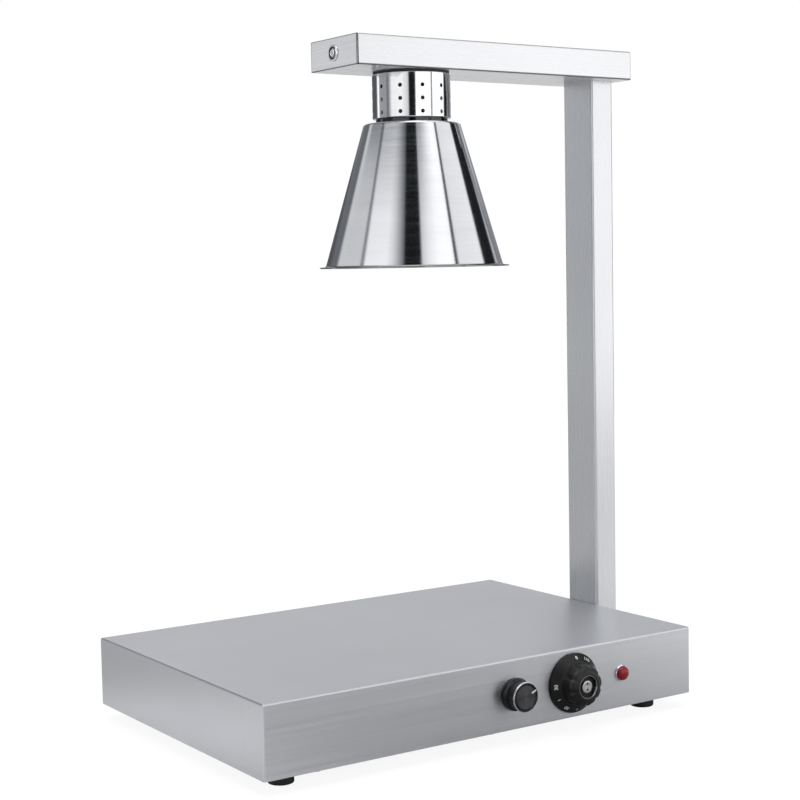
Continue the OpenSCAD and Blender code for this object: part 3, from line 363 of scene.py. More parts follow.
def brushed(name, colour, roughness, stretch, across, anisotropic=0.6, side=None, streak=0.06):
    """Brushed sheet. stretch is low along the grain and high across it, and across is the direction square
    to the grain. side is (stretch, across) for faces that look along X."""
    material, tree, bsdf = new_material(name)
    vector = place_of(tree, stretch)
    tangent = add(tree, "ShaderNodeCombineXYZ", dict(enumerate(across))).outputs[0]
    if side:
        facing = split(tree, add(tree, "ShaderNodeNewGeometry").outputs["True Normal"])[0]
        is_side = calc(tree, "GREATER_THAN", calc(tree, "ABSOLUTE", facing), 0.7)
        side_tangent = add(tree, "ShaderNodeCombineXYZ", dict(enumerate(side[1]))).outputs[0]
        vector = add(tree, "ShaderNodeMix", {0: is_side, 4: vector, 5: place_of(tree, side[0])},
                     data_type="VECTOR").outputs[1]
        tangent = add(tree, "ShaderNodeMix", {0: is_side, 4: tangent, 5: side_tangent},
                      data_type="VECTOR").outputs[1]
    fine = noise(tree, vector, 1.0, 4.0, 0.7)
    broad = noise(tree, place_of(tree), 7.0, 2.0, 0.5)
    light = [min(1.0, c * 1.05) for c in colour]
    dark = [c * 0.94 for c in colour]
    tone = calc(tree, "MULTIPLY_ADD", fine, 0.7, calc(tree, "MULTIPLY", broad, 0.3))
    rough = remap(tree, fine, 0.3, 0.7, roughness - streak, roughness + streak)
    feed(tree, bsdf, Base_Color=blend_colour(tree, remap(tree, tone, 0.35, 0.65, 0, 1), dark, light),
         Metallic=1.0, Roughness=rough, Anisotropic=anisotropic, Tangent=tangent,
         Normal=bump(tree, fine, 0.06, 0.02 * MM))
    return material


def moulded(name, colour, roughness, grain=0.15, coat=0.0, scale=2500.0, level=0.5):
    """Moulded plastic or rubber with a fine surface grain and slight uneven tone."""
    material, tree, bsdf = new_material(name)
    cloud = noise(tree, place_of(tree), 60.0, 3.0)
    grains = noise(tree, place_of(tree), scale, 2.0)
    tone = blend_colour(tree, cloud, [c * 0.8 for c in colour], [min(1, c * 1.2 + 0.002) for c in colour])
    feed(tree, bsdf, Base_Color=tone, Coat_Weight=coat, Coat_Roughness=0.12, Specular_IOR_Level=level,
         Roughness=remap(tree, cloud, 0.3, 0.7, roughness - 0.05, roughness + 0.06),
         Normal=bump(tree, grains, grain, 0.05 * MM))
    return material


def painted_edge_shade(tree, low, high, lines):
    """Factor that paints shade: thin dark lines along the edges of a box, standing in for the dark bends of
    the folded sheet. Each line is an axis (0 to 2), 1 for the high side or 0 for the low one, a width in mm,
    and the tone the line has."""
    places = split(tree, place_of(tree))
    facing = split(tree, add(tree, "ShaderNodeNewGeometry").outputs["True Normal"])
    factor = None
    for axis, at_high, width, tone in lines:
        edge = (high if at_high else low)[axis]
        away = calc(tree, "ABSOLUTE", calc(tree, "SUBTRACT", places[axis], edge))
        line = remap(tree, away, width * 0.6 * MM, width * 1.4 * MM, tone, 1.0, True)
        flat = calc(tree, "GREATER_THAN", calc(tree, "ABSOLUTE", facing[axis]), 0.97)
        line = calc(tree, "MAXIMUM", line, flat)
        factor = line if factor is None else calc(tree, "MULTIPLY", factor, line)
    return factor


def toned(material, factor_of):
    """Multiplies a material's base colour by the factor that factor_of(tree) makes; here that paints shade.
    """
    tree = material.node_tree
    bsdf = tree.nodes["Principled BSDF"]
    colour = bsdf.inputs["Base Color"].links[0].from_socket
    mixed = add(tree, "ShaderNodeMix", {0: factor_of(tree), 6: (0, 0, 0, 1), 7: colour}, data_type="RGBA")
    feed(tree, bsdf, Base_Color=mixed.outputs[2])
    return material


def painted_shade_below(z, tone):
    """Factor function for toned() that paints shade: the given tone below a height, without change above it.
    """
    half_blend = 0.5 * MM
    return lambda tree: remap(tree, split(tree, place_of(tree))[2], z - half_blend, z + half_blend, tone, 1.0)


def plated(name, colour, roughness, wear=0.08):
    """Plated, turned or polished metal with faint clouding."""
    material, tree, bsdf = new_material(name)
    cloud = noise(tree, place_of(tree), 180.0, 4.0, 0.6)
    tone = blend_colour(tree, cloud, [c * 0.88 for c in colour], [min(1, c * 1.06) for c in colour])
    feed(tree, bsdf, Base_Color=tone, Metallic=1.0,
         Roughness=remap(tree, cloud, 0.3, 0.7, max(0.02, roughness - wear), roughness + wear),
         Normal=bump(tree, cloud, 0.03, 0.05 * MM))
    return material


def spun(name, colour, roughness, anisotropic, groove):
    """Spun metal: fine rings round the lamp's axis, with reflections stretched along the slope."""
    material, tree, bsdf = new_material(name)
    x, y, z = split(tree, place_of(tree))
    around = calc(tree, "ARCTAN2", calc(tree, "SUBTRACT", y, lamp_centre.y),
                  calc(tree, "SUBTRACT", x, lamp_centre.x))
    cosine, sine = calc(tree, "COSINE", around), calc(tree, "SINE", around)

    def round_axis(per_metre, detail, rough):
        inputs = {0: cosine, 1: sine, 2: calc(tree, "MULTIPLY", z, per_metre)}
        return noise(tree, add(tree, "ShaderNodeCombineXYZ", inputs).outputs[0], 1.0, detail, rough)

    rings = round_axis(420.0, 5.0, 0.75)
    bands = round_axis(60.0, 2.0, 0.5)
    tone = calc(tree, "MULTIPLY_ADD", rings, 0.6, calc(tree, "MULTIPLY", bands, 0.4))
    colours = blend_colour(tree, remap(tree, tone, 0.35, 0.65, 0, 1), [c * 0.9 for c in colour], colour)
    feed(tree, bsdf, Base_Color=colours, Metallic=1.0,
         Roughness=remap(tree, rings, 0.3, 0.7, roughness * 0.7, roughness * 1.3),
         Anisotropic=anisotropic, Tangent=add(tree, "ShaderNodeCombineXYZ", {2: 1.0}).outputs[0],
         Normal=bump(tree, rings, groove, 0.02 * MM))
    return material


# ---------------------------------------------------------------- materials

ALONG_X = (3, 900, 900)
ALONG_Y = (900, 3, 900)
ALONG_Z = (900, 900, 3)
SIDE_GRAIN = (ALONG_Z, (0, 1, 0))

casing_steel = brushed("casing_steel", (0.56, 0.57, 0.595), 0.36, ALONG_X, (0, 0.7, 0.7), side=SIDE_GRAIN)
# painted shade: dark lines along the arm's and the end cap's edges stand in for their dark bends
arm_steel = toned(
    brushed("arm_steel", (0.62, 0.625, 0.64), 0.28, ALONG_X, (0, 0.7, 0.7), side=(ALONG_Y, (0, 0, 1))),
    lambda tree: painted_edge_shade(tree, cap_low, arm_high, ((2, 0, 1.5, 0.12), (2, 1, 0.9, 0.4), (0, 1, 0.9, 0.4))))
cap_steel = toned(
    brushed("cap_steel", (0.62, 0.625, 0.64), 0.3, ALONG_Y, (0, 0, 1), side=(ALONG_Y, (0, 0, 1))),
    lambda tree: painted_edge_shade(tree, cap_low, cap_high, (
        (2, 0, 1.0, 0.2), (2, 1, 0.9, 0.3), (1, 0, 0.9, 0.1), (1, 1, 1.2, 0.3))))
post_steel = brushed("post_steel", (0.60, 0.61, 0.625), 0.28, ALONG_Z, (0.7, 0.7, 0), 0.6, streak=0.03)
plain_steel = brushed("plain_steel", (0.52, 0.53, 0.55), 0.38, ALONG_X, (0, 0.7, 0.7), 0.3)
# painted shade: the lamp shade is darkened at its rim's edge, and the neck below its step, on the shadowed
# collar
shade_steel = toned(spun("shade_steel", (0.66, 0.67, 0.69), 0.105, 0.65, 0.012),
                    painted_shade_below(shade_low.z + 2.9 * MM, 0.38))
neck_steel = toned(spun("neck_steel", (0.74, 0.745, 0.76), 0.10, 0.5, 0.03),
                   painted_shade_below(NECK_STEP + 0.1 * MM, 0.07))
zinc = plated("zinc_plate", (0.62, 0.63, 0.65), 0.25)
chrome = plated("chrome", (0.80, 0.80, 0.82), 0.08, 0.03)
dark_chrome = plated("dark_chrome", (0.34, 0.34, 0.35), 0.12, 0.04)
brass = plated("brass", (0.72, 0.52, 0.24), 0.25)
copper = plated("copper", (0.70, 0.38, 0.24), 0.3)
aluminium = plated("aluminium", (0.68, 0.69, 0.70), 0.38)
dial_black = moulded("dial_black", (0.006, 0.006, 0.007), 0.36, 0.12, level=0.3)
knob_black = moulded("knob_black", (0.005, 0.005, 0.006), 0.24, 0.04, level=0.35)
soft_black = moulded("soft_black", (0.02, 0.02, 0.021), 0.5, 0.2)
rubber = moulded("rubber", (0.014, 0.014, 0.014), 0.62, 0.4, 0.0, 1500.0)
gasket_black = moulded("gasket_black", (0.02, 0.02, 0.022), 0.6, 0.3)
mark_white = moulded("mark_white", (0.72, 0.72, 0.70), 0.45, 0.05)
ceramic = moulded("ceramic", (0.78, 0.76, 0.70), 0.3, 0.1, 0.4, 700.0)
phenolic = moulded("phenolic", (0.16, 0.09, 0.05), 0.45)
mica = moulded("mica", (0.45, 0.37, 0.24), 0.55, 0.5, 0.0, 400.0)
blanket = moulded("blanket", (0.72, 0.69, 0.60), 0.9, 0.9, 0.0, 900.0)
white_sheath = moulded("white_sheath", (0.66, 0.66, 0.63), 0.5)
brown_sheath = moulded("brown_sheath", (0.16, 0.06, 0.025), 0.45)
blue_sheath = moulded("blue_sheath", (0.02, 0.07, 0.32), 0.45)


def earth_sheath():
    """Green and yellow insulation with a helical stripe."""
    material, tree, bsdf = new_material("earth_sheath")
    wave = add(tree, "ShaderNodeTexWave", {"Vector": place_of(tree), "Scale": 90.0, "Distortion": 1.0},
               bands_direction="DIAGONAL").outputs["Fac"]
    stripe = calc(tree, "GREATER_THAN", wave, 0.55)
    green, yellow = (0.05, 0.26, 0.04), (0.70, 0.60, 0.04)
    feed(tree, bsdf, Base_Color=blend_colour(tree, stripe, green, yellow), Roughness=0.45)
    return material


def red_lens():
    """Translucent red moulding with a ribbed inside."""
    material, tree, bsdf = new_material("red_lens")
    waves = add(tree, "ShaderNodeTexWave", {"Vector": place_of(tree), "Scale": 260.0, "Detail": 1.0},
                wave_type="RINGS", rings_direction="Y").outputs["Fac"]
    feed(tree, bsdf, Base_Color=blend_colour(tree, waves, (0.12, 0.0, 0.004), (0.26, 0.001, 0.008)),
         Roughness=0.25, Specular_IOR_Level=0.3, Coat_Weight=0.3, Coat_Roughness=0.08,
         Emission_Color=(0.30, 0.0, 0.010, 1), Emission_Strength=0.12,
         Normal=bump(tree, waves, 0.15, 0.1 * MM))
    return material


def spun_face():
    """Dark disc with fine rings about the dimmer's axis, so that its highlights fan out from the centre."""
    material, tree, bsdf = new_material("spun_face")
    centre = JOINT_AT["dimmer_turn"]
    inputs = {0: place_of(tree), 1: tuple(centre)}
    arm = add(tree, "ShaderNodeVectorMath", inputs, operation="SUBTRACT").outputs[0]
    flat = add(tree, "ShaderNodeVectorMath", {0: arm, 1: (1, 0, 1)}, operation="MULTIPLY").outputs[0]
    radius = add(tree, "ShaderNodeVectorMath", {0: flat}, operation="LENGTH").outputs["Value"]
    rings = noise(tree, calc(tree, "MULTIPLY", radius, 4000.0), 1.0, 3.0)
    feed(tree, bsdf, Base_Color=blend_colour(tree, rings, (0.08, 0.08, 0.088), (0.15, 0.15, 0.16)),
         Metallic=1.0, Roughness=remap(tree, rings, 0.3, 0.7, 0.18, 0.28), Anisotropic=0.9, Tangent=flat)
    return material


def bulb_shell():
    """Reflector bulb: a frosted face below a silvered body."""
    material, tree, bsdf = new_material("bulb_shell")
    face_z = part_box("bulb_glass")[0].z + 26 * MM
    z = split(tree, place_of(tree))[2]
    silvered = remap(tree, z, face_z - 1 * MM, face_z + 1 * MM, 0, 1)
    frost = noise(tree, place_of(tree), 900.0, 2.0)
    feed(tree, bsdf, Base_Color=blend_colour(tree, silvered, (0.82, 0.83, 0.85), (0.78, 0.78, 0.80)),
         Metallic=silvered, Roughness=remap(tree, silvered, 0, 1, 0.3, 0.12), Coat_Weight=0.6,
         Normal=bump(tree, frost, 0.1, 0.05 * MM))
    return material


green_sheath = earth_sheath()
lens_red = red_lens()
dimmer_face = spun_face()
bulb_white = bulb_shell()

# ---------------------------------------------------------------- CAD nodes that stay, with their finish

CAD_FINISH = {
    "bottom_cover": (plain_steel, 0), "casing_screws": (zinc, 0.2), "rubber_feet": (rubber, 0),
    "foot_screws": (zinc, 0.2), "lock_nuts": (zinc, 0.3), "heat_spreader": (aluminium, 0.3),
    "heater_mat": (mica, 0.3), "insulation_blanket": (blanket, 1.5), "heater_clamp": (plain_steel, 0.3),
    "weld_studs": (zinc, 0.3), "thermostat_body": (phenolic, 0.3), "thermostat_screws": (zinc, 0.15),
    "thermostat_capillary": (copper, 0), "capillary_clips": (plain_steel, 0.1),
    "thermostat_spindle": (zinc, 0.2), "dimmer_body": (soft_black, 0.3), "dimmer_spindle": (zinc, 0.2),
    "panel_nuts": (zinc, 0.3), "terminal_block": (ceramic, 0.3), "terminal_screws": (brass, 0.1),
    "live_wires": (brown_sheath, 0), "neutral_wires": (blue_sheath, 0), "earth_wires": (green_sheath, 0),
    "cord_gland": (soft_black, 0.4), "plug_pins": (brass, 0.2), "post_end_plug": (soft_black, 0.4),
    "post_backing_plate": (plain_steel, 0.2), "post_tapped_plates": (plain_steel, 0.2),
    "frame_bolts": (zinc, 0.3), "wire_grommets": (rubber, 0.4), "arm_floor": (arm_steel, 0.1),
    "lamp_nipple": (brass, 0.2), "nipple_nuts": (brass, 0.3), "lamp_cable": (white_sheath, 0),
    "shade_ring": (plain_steel, 0.3), "socket_bracket": (plain_steel, 0.2), "socket_body": (ceramic, 0.6),
    "socket_shell": (brass, 0.1), "bulb_glass": (bulb_white, 0), "bulb_cap": (aluminium, 0.1),
    "bulb_filament": (white_sheath, 0),
}


def finish_cad_node(name, material, bevel_mm):
    obj = frame["nodes"][name]
    if "custom_normal" in obj.data.attributes:
        obj.data.attributes.remove(obj.data.attributes["custom_normal"])
    obj.data.materials.clear()
    obj.data.materials.append(material)
    shade(obj, bevel_mm * MM)


for node_name, (node_material, node_bevel) in CAD_FINISH.items():
    finish_cad_node(node_name, node_material, node_bevel)

# ---------------------------------------------------------------- base and post

ON_PANEL = Matrix(((1, 0, 0), (0, 0, -1), (0, 1, 0))).to_4x4()     # local +Z out of the front panel, +Y up


def panel_frame(x):
    return Matrix.Translation((x, front_y, panel_z)) @ ON_PANEL


def build_casing():
    """Folded casing with the holes for its controls and its cord gland."""
    deep = 6 * MM
    holes = []
    for x, radius in ((JOINT_AT["dimmer_turn"].x, 5.2), (JOINT_AT["dial_turn"].x, 5.0), (lens_x, 5.2)):
        holes.append(rod((x, front_y - deep, panel_z), (x, front_y + deep, panel_z), radius * MM))
    gland = (gland_low + gland_high) / 2
    gland.y = casing_high.y
    into = Vector((0, deep, 0))
    holes.append(rod(gland - into, gland + into, 8.1 * MM))
    bm = folded_box(casing_low, casing_high, 2.2 * MM, 2.0 * MM, 14 * MM, SHEET)
    piece("folded_casing", cut(bm, *holes), casing_steel, CHASSIS, "brushed_casing", "base_casing")


def build_post():
    """Rectangular tube with rounded corners."""
    corner = 3.2 * MM
    bm = bmesh.new()
    outer = [rounded_loop(post_low, post_high, 0, z, corner, 8) for z in (post_low.z, post_high.z)]
    inner = [rounded_loop(post_low, post_high, SHEET, z, corner, 8) for z in (post_high.z, post_low.z)]
    loft(bm, outer + inner, wrap=True)
    piece("post_tube", bm, post_steel, CHASSIS, "brushed_post", "post")


# ---------------------------------------------------------------- arm

def build_arm_cover():
    """Folded cover, cut square at its open left end."""
    reach = 20 * MM
    low = arm_low - Vector((reach, 0, 0))
    bm = folded_box(low, arm_high, 1.9 * MM, 1.9 * MM, 10 * MM, SHEET)
    ends = bmesh.ops.bisect_plane(bm, geom=bm.verts[:] + bm.edges[:] + bm.faces[:], plane_co=arm_low,
                                  plane_no=(-1, 0, 0), clear_outer=True)["geom_cut"]
    edges = [e for e in ends if isinstance(e, bmesh.types.BMEdge)]
    bmesh.ops.contextual_create(bm, geom=edges)
    piece("arm_shell", bm, arm_steel, CHASSIS, "brushed_arm", "arm_cover")


def build_end_cap():
    """Flat cap with softened edges and a hole for its screw."""
    bm = box_mesh(cap_low, cap_high, 0.45 * MM)
    centre = (cap_low + cap_high) / 2
    through = Vector((5 * MM, 0, 0))
    hole = rod(centre - through, centre + through, 2.7 * MM)
    piece("end_cap", cut(bm, hole), cap_steel, CHASSIS, "brushed_arm", "arm_end_cap")


def build_end_screw():
    """Cup washer and pan head with a cross recess, on the middle of the end cap."""
    cup = lathe(fillet([
        (2.5, 0), (8.5, 0, 0.2), (8.3, 1.2, 0.6), (6.9, 1.9, 0.4), (5.7, 0.8, 0.3), (2.5, 0.6)], 4), 64)
    head = lathe([(0, -9)] + fillet([
        (2.45, -9), (2.45, 0.6), (3.8, 0.65, 0.2), (3.8, 1.9, 0.8), (2.4, 2.9, 1.2)], 4) + [(0, 2.95)], 48)
    arms = []
    for turn in (35, 125):
        slot = box_mesh((-2.3, -0.42, 1.7), (2.3, 0.42, 4.0))
        arms.append(moved(slot, Matrix.Rotation(math.radians(turn), 4, "Z")))
    head = cut(cut(head, arms[0]), arms[1])
    middle = Matrix.Translation((cap_low.x, 0, (cap_low.z + cap_high.z) / 2))
    out_of_cap = middle @ Matrix(((0, 0, -1), (0, 1, 0), (1, 0, 0))).to_4x4() @ Matrix.Scale(MM, 4)
    # dark rubber ring laid in the cup washer's recess: painted shade for the dark recess
    recess_shade_ring = lathe([(4.3, 0.62), (5.6, 0.82), (6.6, 1.72), (6.1, 1.85), (5.3, 1.05), (4.3, 0.9)], 64)
    piece("end_screw", moved(joined(cup, head), out_of_cap), chrome, CHASSIS, "zinc_steel", "end_cap_screw")
    piece("end_screw_recess_shade", moved(recess_shade_ring, out_of_cap), rubber, CHASSIS, "zinc_steel")


# ---------------------------------------------------------------- lamp

def at_lamp(z):
    return Matrix.Translation((lamp_centre.x, lamp_centre.y, z)) @ Matrix.Scale(MM, 4)


def build_gasket():
    height = (gasket_high.z - gasket_low.z) / MM
    outline = fillet([(5.2, 0), (neck_r / MM - 1, 0, 0.8), (neck_r / MM - 1, height, 0.8), (5.2, height)])
    piece("gasket_ring", moved(lathe(outline, 128), at_lamp(gasket_low.z)), gasket_black, CHASSIS, "gasket",
          "neck_gasket")


def set_round_normals(obj):
    """Gives the wall of a turned piece the normals of a true round, which its cut holes would disturb."""
    mesh = obj.data
    mesh.polygons.foreach_set("use_smooth", [True] * len(mesh.polygons))
    normals = [None] * len(mesh.loops)
    for polygon in mesh.polygons:
        out = Vector((polygon.center.x - lamp_centre.x, polygon.center.y - lamp_centre.y, 0)).normalized()
        side = polygon.normal.dot(out)
        for index in polygon.loop_indices:
            point = mesh.vertices[mesh.loops[index].vertex_index].co
            if abs(side) > 0.985:
                radial = Vector((point.x - lamp_centre.x, point.y - lamp_centre.y, 0)).normalized()
                normals[index] = radial * (1 if side > 0 else -1)
            else:
                normals[index] = mesh.corner_normals[index].vector.copy()
    mesh.normals_split_custom_set(normals)


def build_neck():
    """Spun neck: rounded top and bottom edges, a narrower collar and three rows of vent holes."""
    low, high = neck_low.z, neck_high.z
    r = neck_r / MM
    height = (high - low) / MM
    wall = 0.8
    step = (NECK_STEP - low) / MM
    collar = 37.6
    outline = fillet([
        (5.2, height), (r, height, 1.6), (r, step, 1.4), (collar, step, 0.5), (collar, 0), (collar - wall, 0),
        (collar - wall, step + wall, 0.4), (r - wall, step + wall, 0.8), (r - wall, height - wall, 0.8),
        (5.2, height - wall)], 5)
    bm = moved(lathe(outline, 176), at_lamp(low))
    vents = []
    rows, columns = 3, 11
    first_row, row_pitch, first_angle = 16, 13.35, 22.8
    for row in range(rows):
        z = gasket_high.z - (first_row + row_pitch * row) * MM
        for column in range(columns):
            angle = math.radians(first_angle + column * 360 / columns)
            along = Vector((math.cos(angle), math.sin(angle), 0))
            start = Vector((lamp_centre.x, lamp_centre.y, z)) + along * (neck_r - 4 * MM)
            vents.append(rod(start, start + along * 8 * MM, 2.15 * MM))
    neck = piece("vented_neck", cut(bm, *vents), neck_steel, CHASSIS, "polished_neck", "neck")
    neck.modifiers.clear()
    set_round_normals(neck)


def build_shade():
    """Spun conical shade with a rolled shoulder and a flat rim."""
    height = (shade_high.z - shade_low.z) / MM
    rim = rim_r / MM
    shoulder, cone, wall = 50.5, 93.5, 0.8
    slope = wall / math.cos(math.atan((cone - shoulder) / height))
    outline = fillet([
        (37.7, height), (shoulder, height, 3.2), (cone, 1.9, 1.6), (rim, 1.5, 0.45), (rim, 0, 0.6),
        (cone + 0.3, 0.5, 1.2), (shoulder - slope, height - 1.2, 2.4), (37.7, height - wall)], 6)
    bm = moved(lathe(outline, 256), at_lamp(shade_low.z))
    piece("lamp_shade", bm, shade_steel, CHASSIS, "spun_shade", "shade")


# ---------------------------------------------------------------- controls

DIAL_R = (dial_high.x - dial_low.x) / 2 / MM
DIAL_H = (front_y - dial_low.y) / MM
KNOB_R = (knob_high.x - knob_low.x) / 2 / MM
KNOB_H = (front_y - knob_low.y) / MM
SKIRT_LOW, SKIRT_HIGH = (DIAL_R - 0.6, 3.0), (23.2, 8.8)


def on_dial(scale=MM):
    return panel_frame(JOINT_AT["dial_turn"].x) @ Matrix.Scale(scale, 4)


def on_knob():
    pointer = math.radians(-64)
    return panel_frame(JOINT_AT["dimmer_turn"].x) @ Matrix.Rotation(pointer, 4, "Z") @ Matrix.Scale(MM, 4)


def build_dial():
    """Skirt and domed grip with nine finger flutes, hollow behind, recessed in front."""
    top = DIAL_H
    outline = fillet([
        (3.1, 5), (20, 5), (20, 1), (DIAL_R, 1, 0.5), (DIAL_R, 2.6, 0.7), (SKIRT_HIGH[0], SKIRT_HIGH[1], 0.8),
        (21.6, 9.2, 0.4), (21.3, 13), (20.9, top - 6, 2.5), (18.6, top - 2.2, 4.5), (12.6, top, 0.7),
        (11.9, top - 0.8, 0.3), (11.85, top - 4.5), (1.7, top - 4.5), (1.7, 17.05), (3.1, 17.05)], 5)
    flutes = 9

    def swell(angle, radius, height):
        if radius < 13 or height < 9.1:
            return radius
        share = min(1.0, (height - 9.1) / 2.5) * min(1.0, max(0.0, (radius - 14.5) / 4.5))
        dip = max(0.0, math.cos(flutes * (angle - math.pi / 2) + math.pi)) ** 1.6
        return radius - 1.5 * share * dip

    bm = moved(lathe(outline, 216, swell), on_dial())
    piece("dial_body", bm, dial_black, DIAL, "dial_black", "thermostat_dial")


def skirt_point(angle_deg, along, across):
    """Point on the dial's skirt: clockwise angle from the top, way up the slope, height off the surface."""
    (r0, z0), (r1, z1) = SKIRT_LOW, SKIRT_HIGH
    slope = Vector((r1 - r0, z1 - z0)).normalized()
    radius = r0 + slope.x * along + slope.y * across
    height = z0 + slope.y * along - slope.x * across
    angle = math.radians(90 - angle_deg)
    return Vector((radius * math.cos(angle), radius * math.sin(angle), height))


def build_dial_marks():
    """Scale figures and ticks, raised slightly on the skirt."""
    text_size = 5.6
    thick = 0.12
    proud = 0.02
    mid = 4.6
    skirt_r = 27
    parts = []
    for figure, clockwise in (("0", 0), ("110", 30), ("90", 90), ("70", 150), ("50", 210), ("30", 270)):
        curve = bpy.data.curves.new("figure", "FONT")
        curve.body = figure
        curve.size = text_size
        curve.align_x = "CENTER"
        curve.align_y = "CENTER"
        curve.extrude = thick
        curve.offset = 0.12
        curve.resolution_u = 6
        obj = bpy.data.objects.new("figure", curve)
        bpy.context.scene.collection.objects.link(obj)
        bpy.context.view_layer.update()
        bm = bmesh.new()
        bm.from_mesh(obj.evaluated_get(bpy.context.evaluated_depsgraph_get()).to_mesh())
        bpy.data.objects.remove(obj)
        bpy.data.curves.remove(curve)
        bmesh.ops.remove_doubles(bm, verts=bm.verts, dist=1e-5)
        for v in bm.verts:
            angle = clockwise + math.degrees(v.co.x / skirt_r)
            v.co = skirt_point(angle, mid - v.co.y * 0.9, proud + v.co.z)
        parts.append(bm)
    for clockwise in (60, 120, 180, 240):
        bm = box_mesh((-0.35, -1.6, -thick), (0.35, 1.6, thick), 0.05, 1)
        for v in bm.verts:
            v.co = skirt_point(clockwise + math.degrees(v.co.x / skirt_r), mid - v.co.y, proud + v.co.z)
        parts.append(bm)
    piece("dial_figures", moved(joined(*parts), on_dial()), mark_white, DIAL, "pointer_white")


def build_dial_trim():
    floor = DIAL_H - 4.5
    ring = lathe(fillet([(10.2, floor), (11.75, floor), (11.75, floor + 3.9, 0.2), (11.2, floor + 3.9, 0.2),
                         (10.2, floor + 1.0, 0.3)], 4), 96)
    piece("dial_ring", moved(ring, on_dial()), dark_chrome, DIAL, "bright_trim", "dial_trim_ring")
    outline = [(0, floor - 7), (1.45, floor - 7)] + fillet(
        [(1.45, floor), (6.3, floor, 0.2), (6.3, floor + 2.4, 0.8), (0, floor + 2.4)], 4)
    disc = lathe(outline, 72)
    pins = [rod((0, s * 2.9, floor + 1), (0, s * 2.9, floor + 4), 1.3) for s in (-1, 1)]
    # dark discs set just inside the pin holes: painted shade for the holes' insides
    hole_shades = [rod((0, s * 2.9, floor + 1.02), (0, s * 2.9, floor + 2.1), 1.27) for s in (-1, 1)]
    piece("dial_disc", moved(cut(disc, *pins), on_dial()), zinc, DIAL, "bright_trim", "dial_screw")
    piece("dial_hole_shade", moved(joined(*hole_shades), on_dial()), soft_black, DIAL, "dial_black")


def build_knob():
    """Dimmer knob: flange, waisted grip with fine ribs, bright ring, dark face and white pointer."""
    top = KNOB_H
    face = KNOB_R - 2
    ribs = 36
    outline = fillet([
        (3.1, 7.6), (5.4, 7.6), (5.4, 4.6), (10.5, 4.6), (10.5, 1.2), (KNOB_R, 1.2, 0.5), (KNOB_R, 3.4, 0.6),
        (face - 0.5, 4.4, 0.5), (face - 0.5, top - 4.4), (face - 0.1, top - 3.6, 0.3),
        (face - 0.1, top - 2.85), (face - 0.6, top - 2.85), (face - 0.6, top - 0.85),
        (face - 0.1, top - 0.75), (face - 0.8, top - 0.02, 0.3), (face - 2, top - 0.02, 0.3),
        (face - 2.6, top - 1.2)], 3)

    def swell(angle, radius, height):
        if 4.6 < height < top - 4.2 and radius > 12:
            return radius - 0.28 * (0.5 + 0.5 * math.cos(ribs * angle))
        return radius

    outline += [(0, top - 1.2), (0, 14.55), (3.1, 14.55)]
    body = lathe(outline, 216, swell)
    slot = box_mesh((-0.8, face - 7, top - 1.8), (0.8, face - 1, top + 1))
    piece("knob_body", moved(cut(body, slot), on_knob()), knob_black, DIMMER, "knob_black", "dimmer_knob")

    disc = lathe(fillet([(0, top - 1.15), (face - 2.65, top - 1.15), (face - 2.75, top - 0.75, 0.2),
                         (0, top - 0.95)], 3), 96)
    gap = box_mesh((-0.78, face - 7.02, top - 2), (0.78, face + 2, top + 1))
    piece("knob_face", moved(cut(disc, gap), on_knob()), dimmer_face, DIMMER, "knob_black")

    ring = lathe(fillet([
        (face - 0.55, top - 2.8), (face + 0.55, top - 2.8, 0.3), (face + 0.55, top - 0.8, 0.4),
        (face - 0.55, top - 0.8, 0.1)], 4), 128)
    piece("knob_ring", moved(ring, on_knob()), chrome, DIMMER, "bright_trim", "knob_trim_ring")

    pointer = box_mesh((-0.74, face - 6.95, top - 1.75), (0.74, face - 1.1, top - 0.02), 0.2)
    piece("knob_mark", moved(pointer, on_knob()), mark_white, DIMMER, "pointer_white", "knob_pointer")


def build_pilot():
    """Bright bezel round a domed red lens."""
    bezel_r = (bezel_high.x - bezel_low.x) / 2 / MM
    lens_r = (lens_high.x - lens_low.x) / 2 / MM
    dome = (front_y - lens_low.y) / MM
    at = panel_frame(lens_x) @ Matrix.Scale(MM, 4)
    bezel = lathe([(0, -26)] + fillet([
        (4.9, -26, 0.4), (4.9, 0), (bezel_r, 0), (bezel_r, 0.9, 0.5), (bezel_r - 0.7, 1.6, 0.4),
        (lens_r + 0.1, 1.5, 0.2), (lens_r + 0.1, 0.8)], 4) + [(0, 0.8)], 96)
    piece("pilot_bezel", moved(bezel, at), chrome, CHASSIS, "bezel", "pilot_holder")
    steps = 12
    dome_outline = [(lens_r * math.cos(a) ** 0.8, 1.9 + (dome - 1.9) * math.sin(a))
                    for a in (math.pi / 2 * k / steps for k in range(steps))]
    lens = lathe([(0, 0.85), (lens_r, 0.85)] + dome_outline + [(0, dome)], 64)
    piece("pilot_dome", moved(lens, at), lens_red, CHASSIS, "pilot_red", "pilot_lens")


# ---------------------------------------------------------------- cord and plug

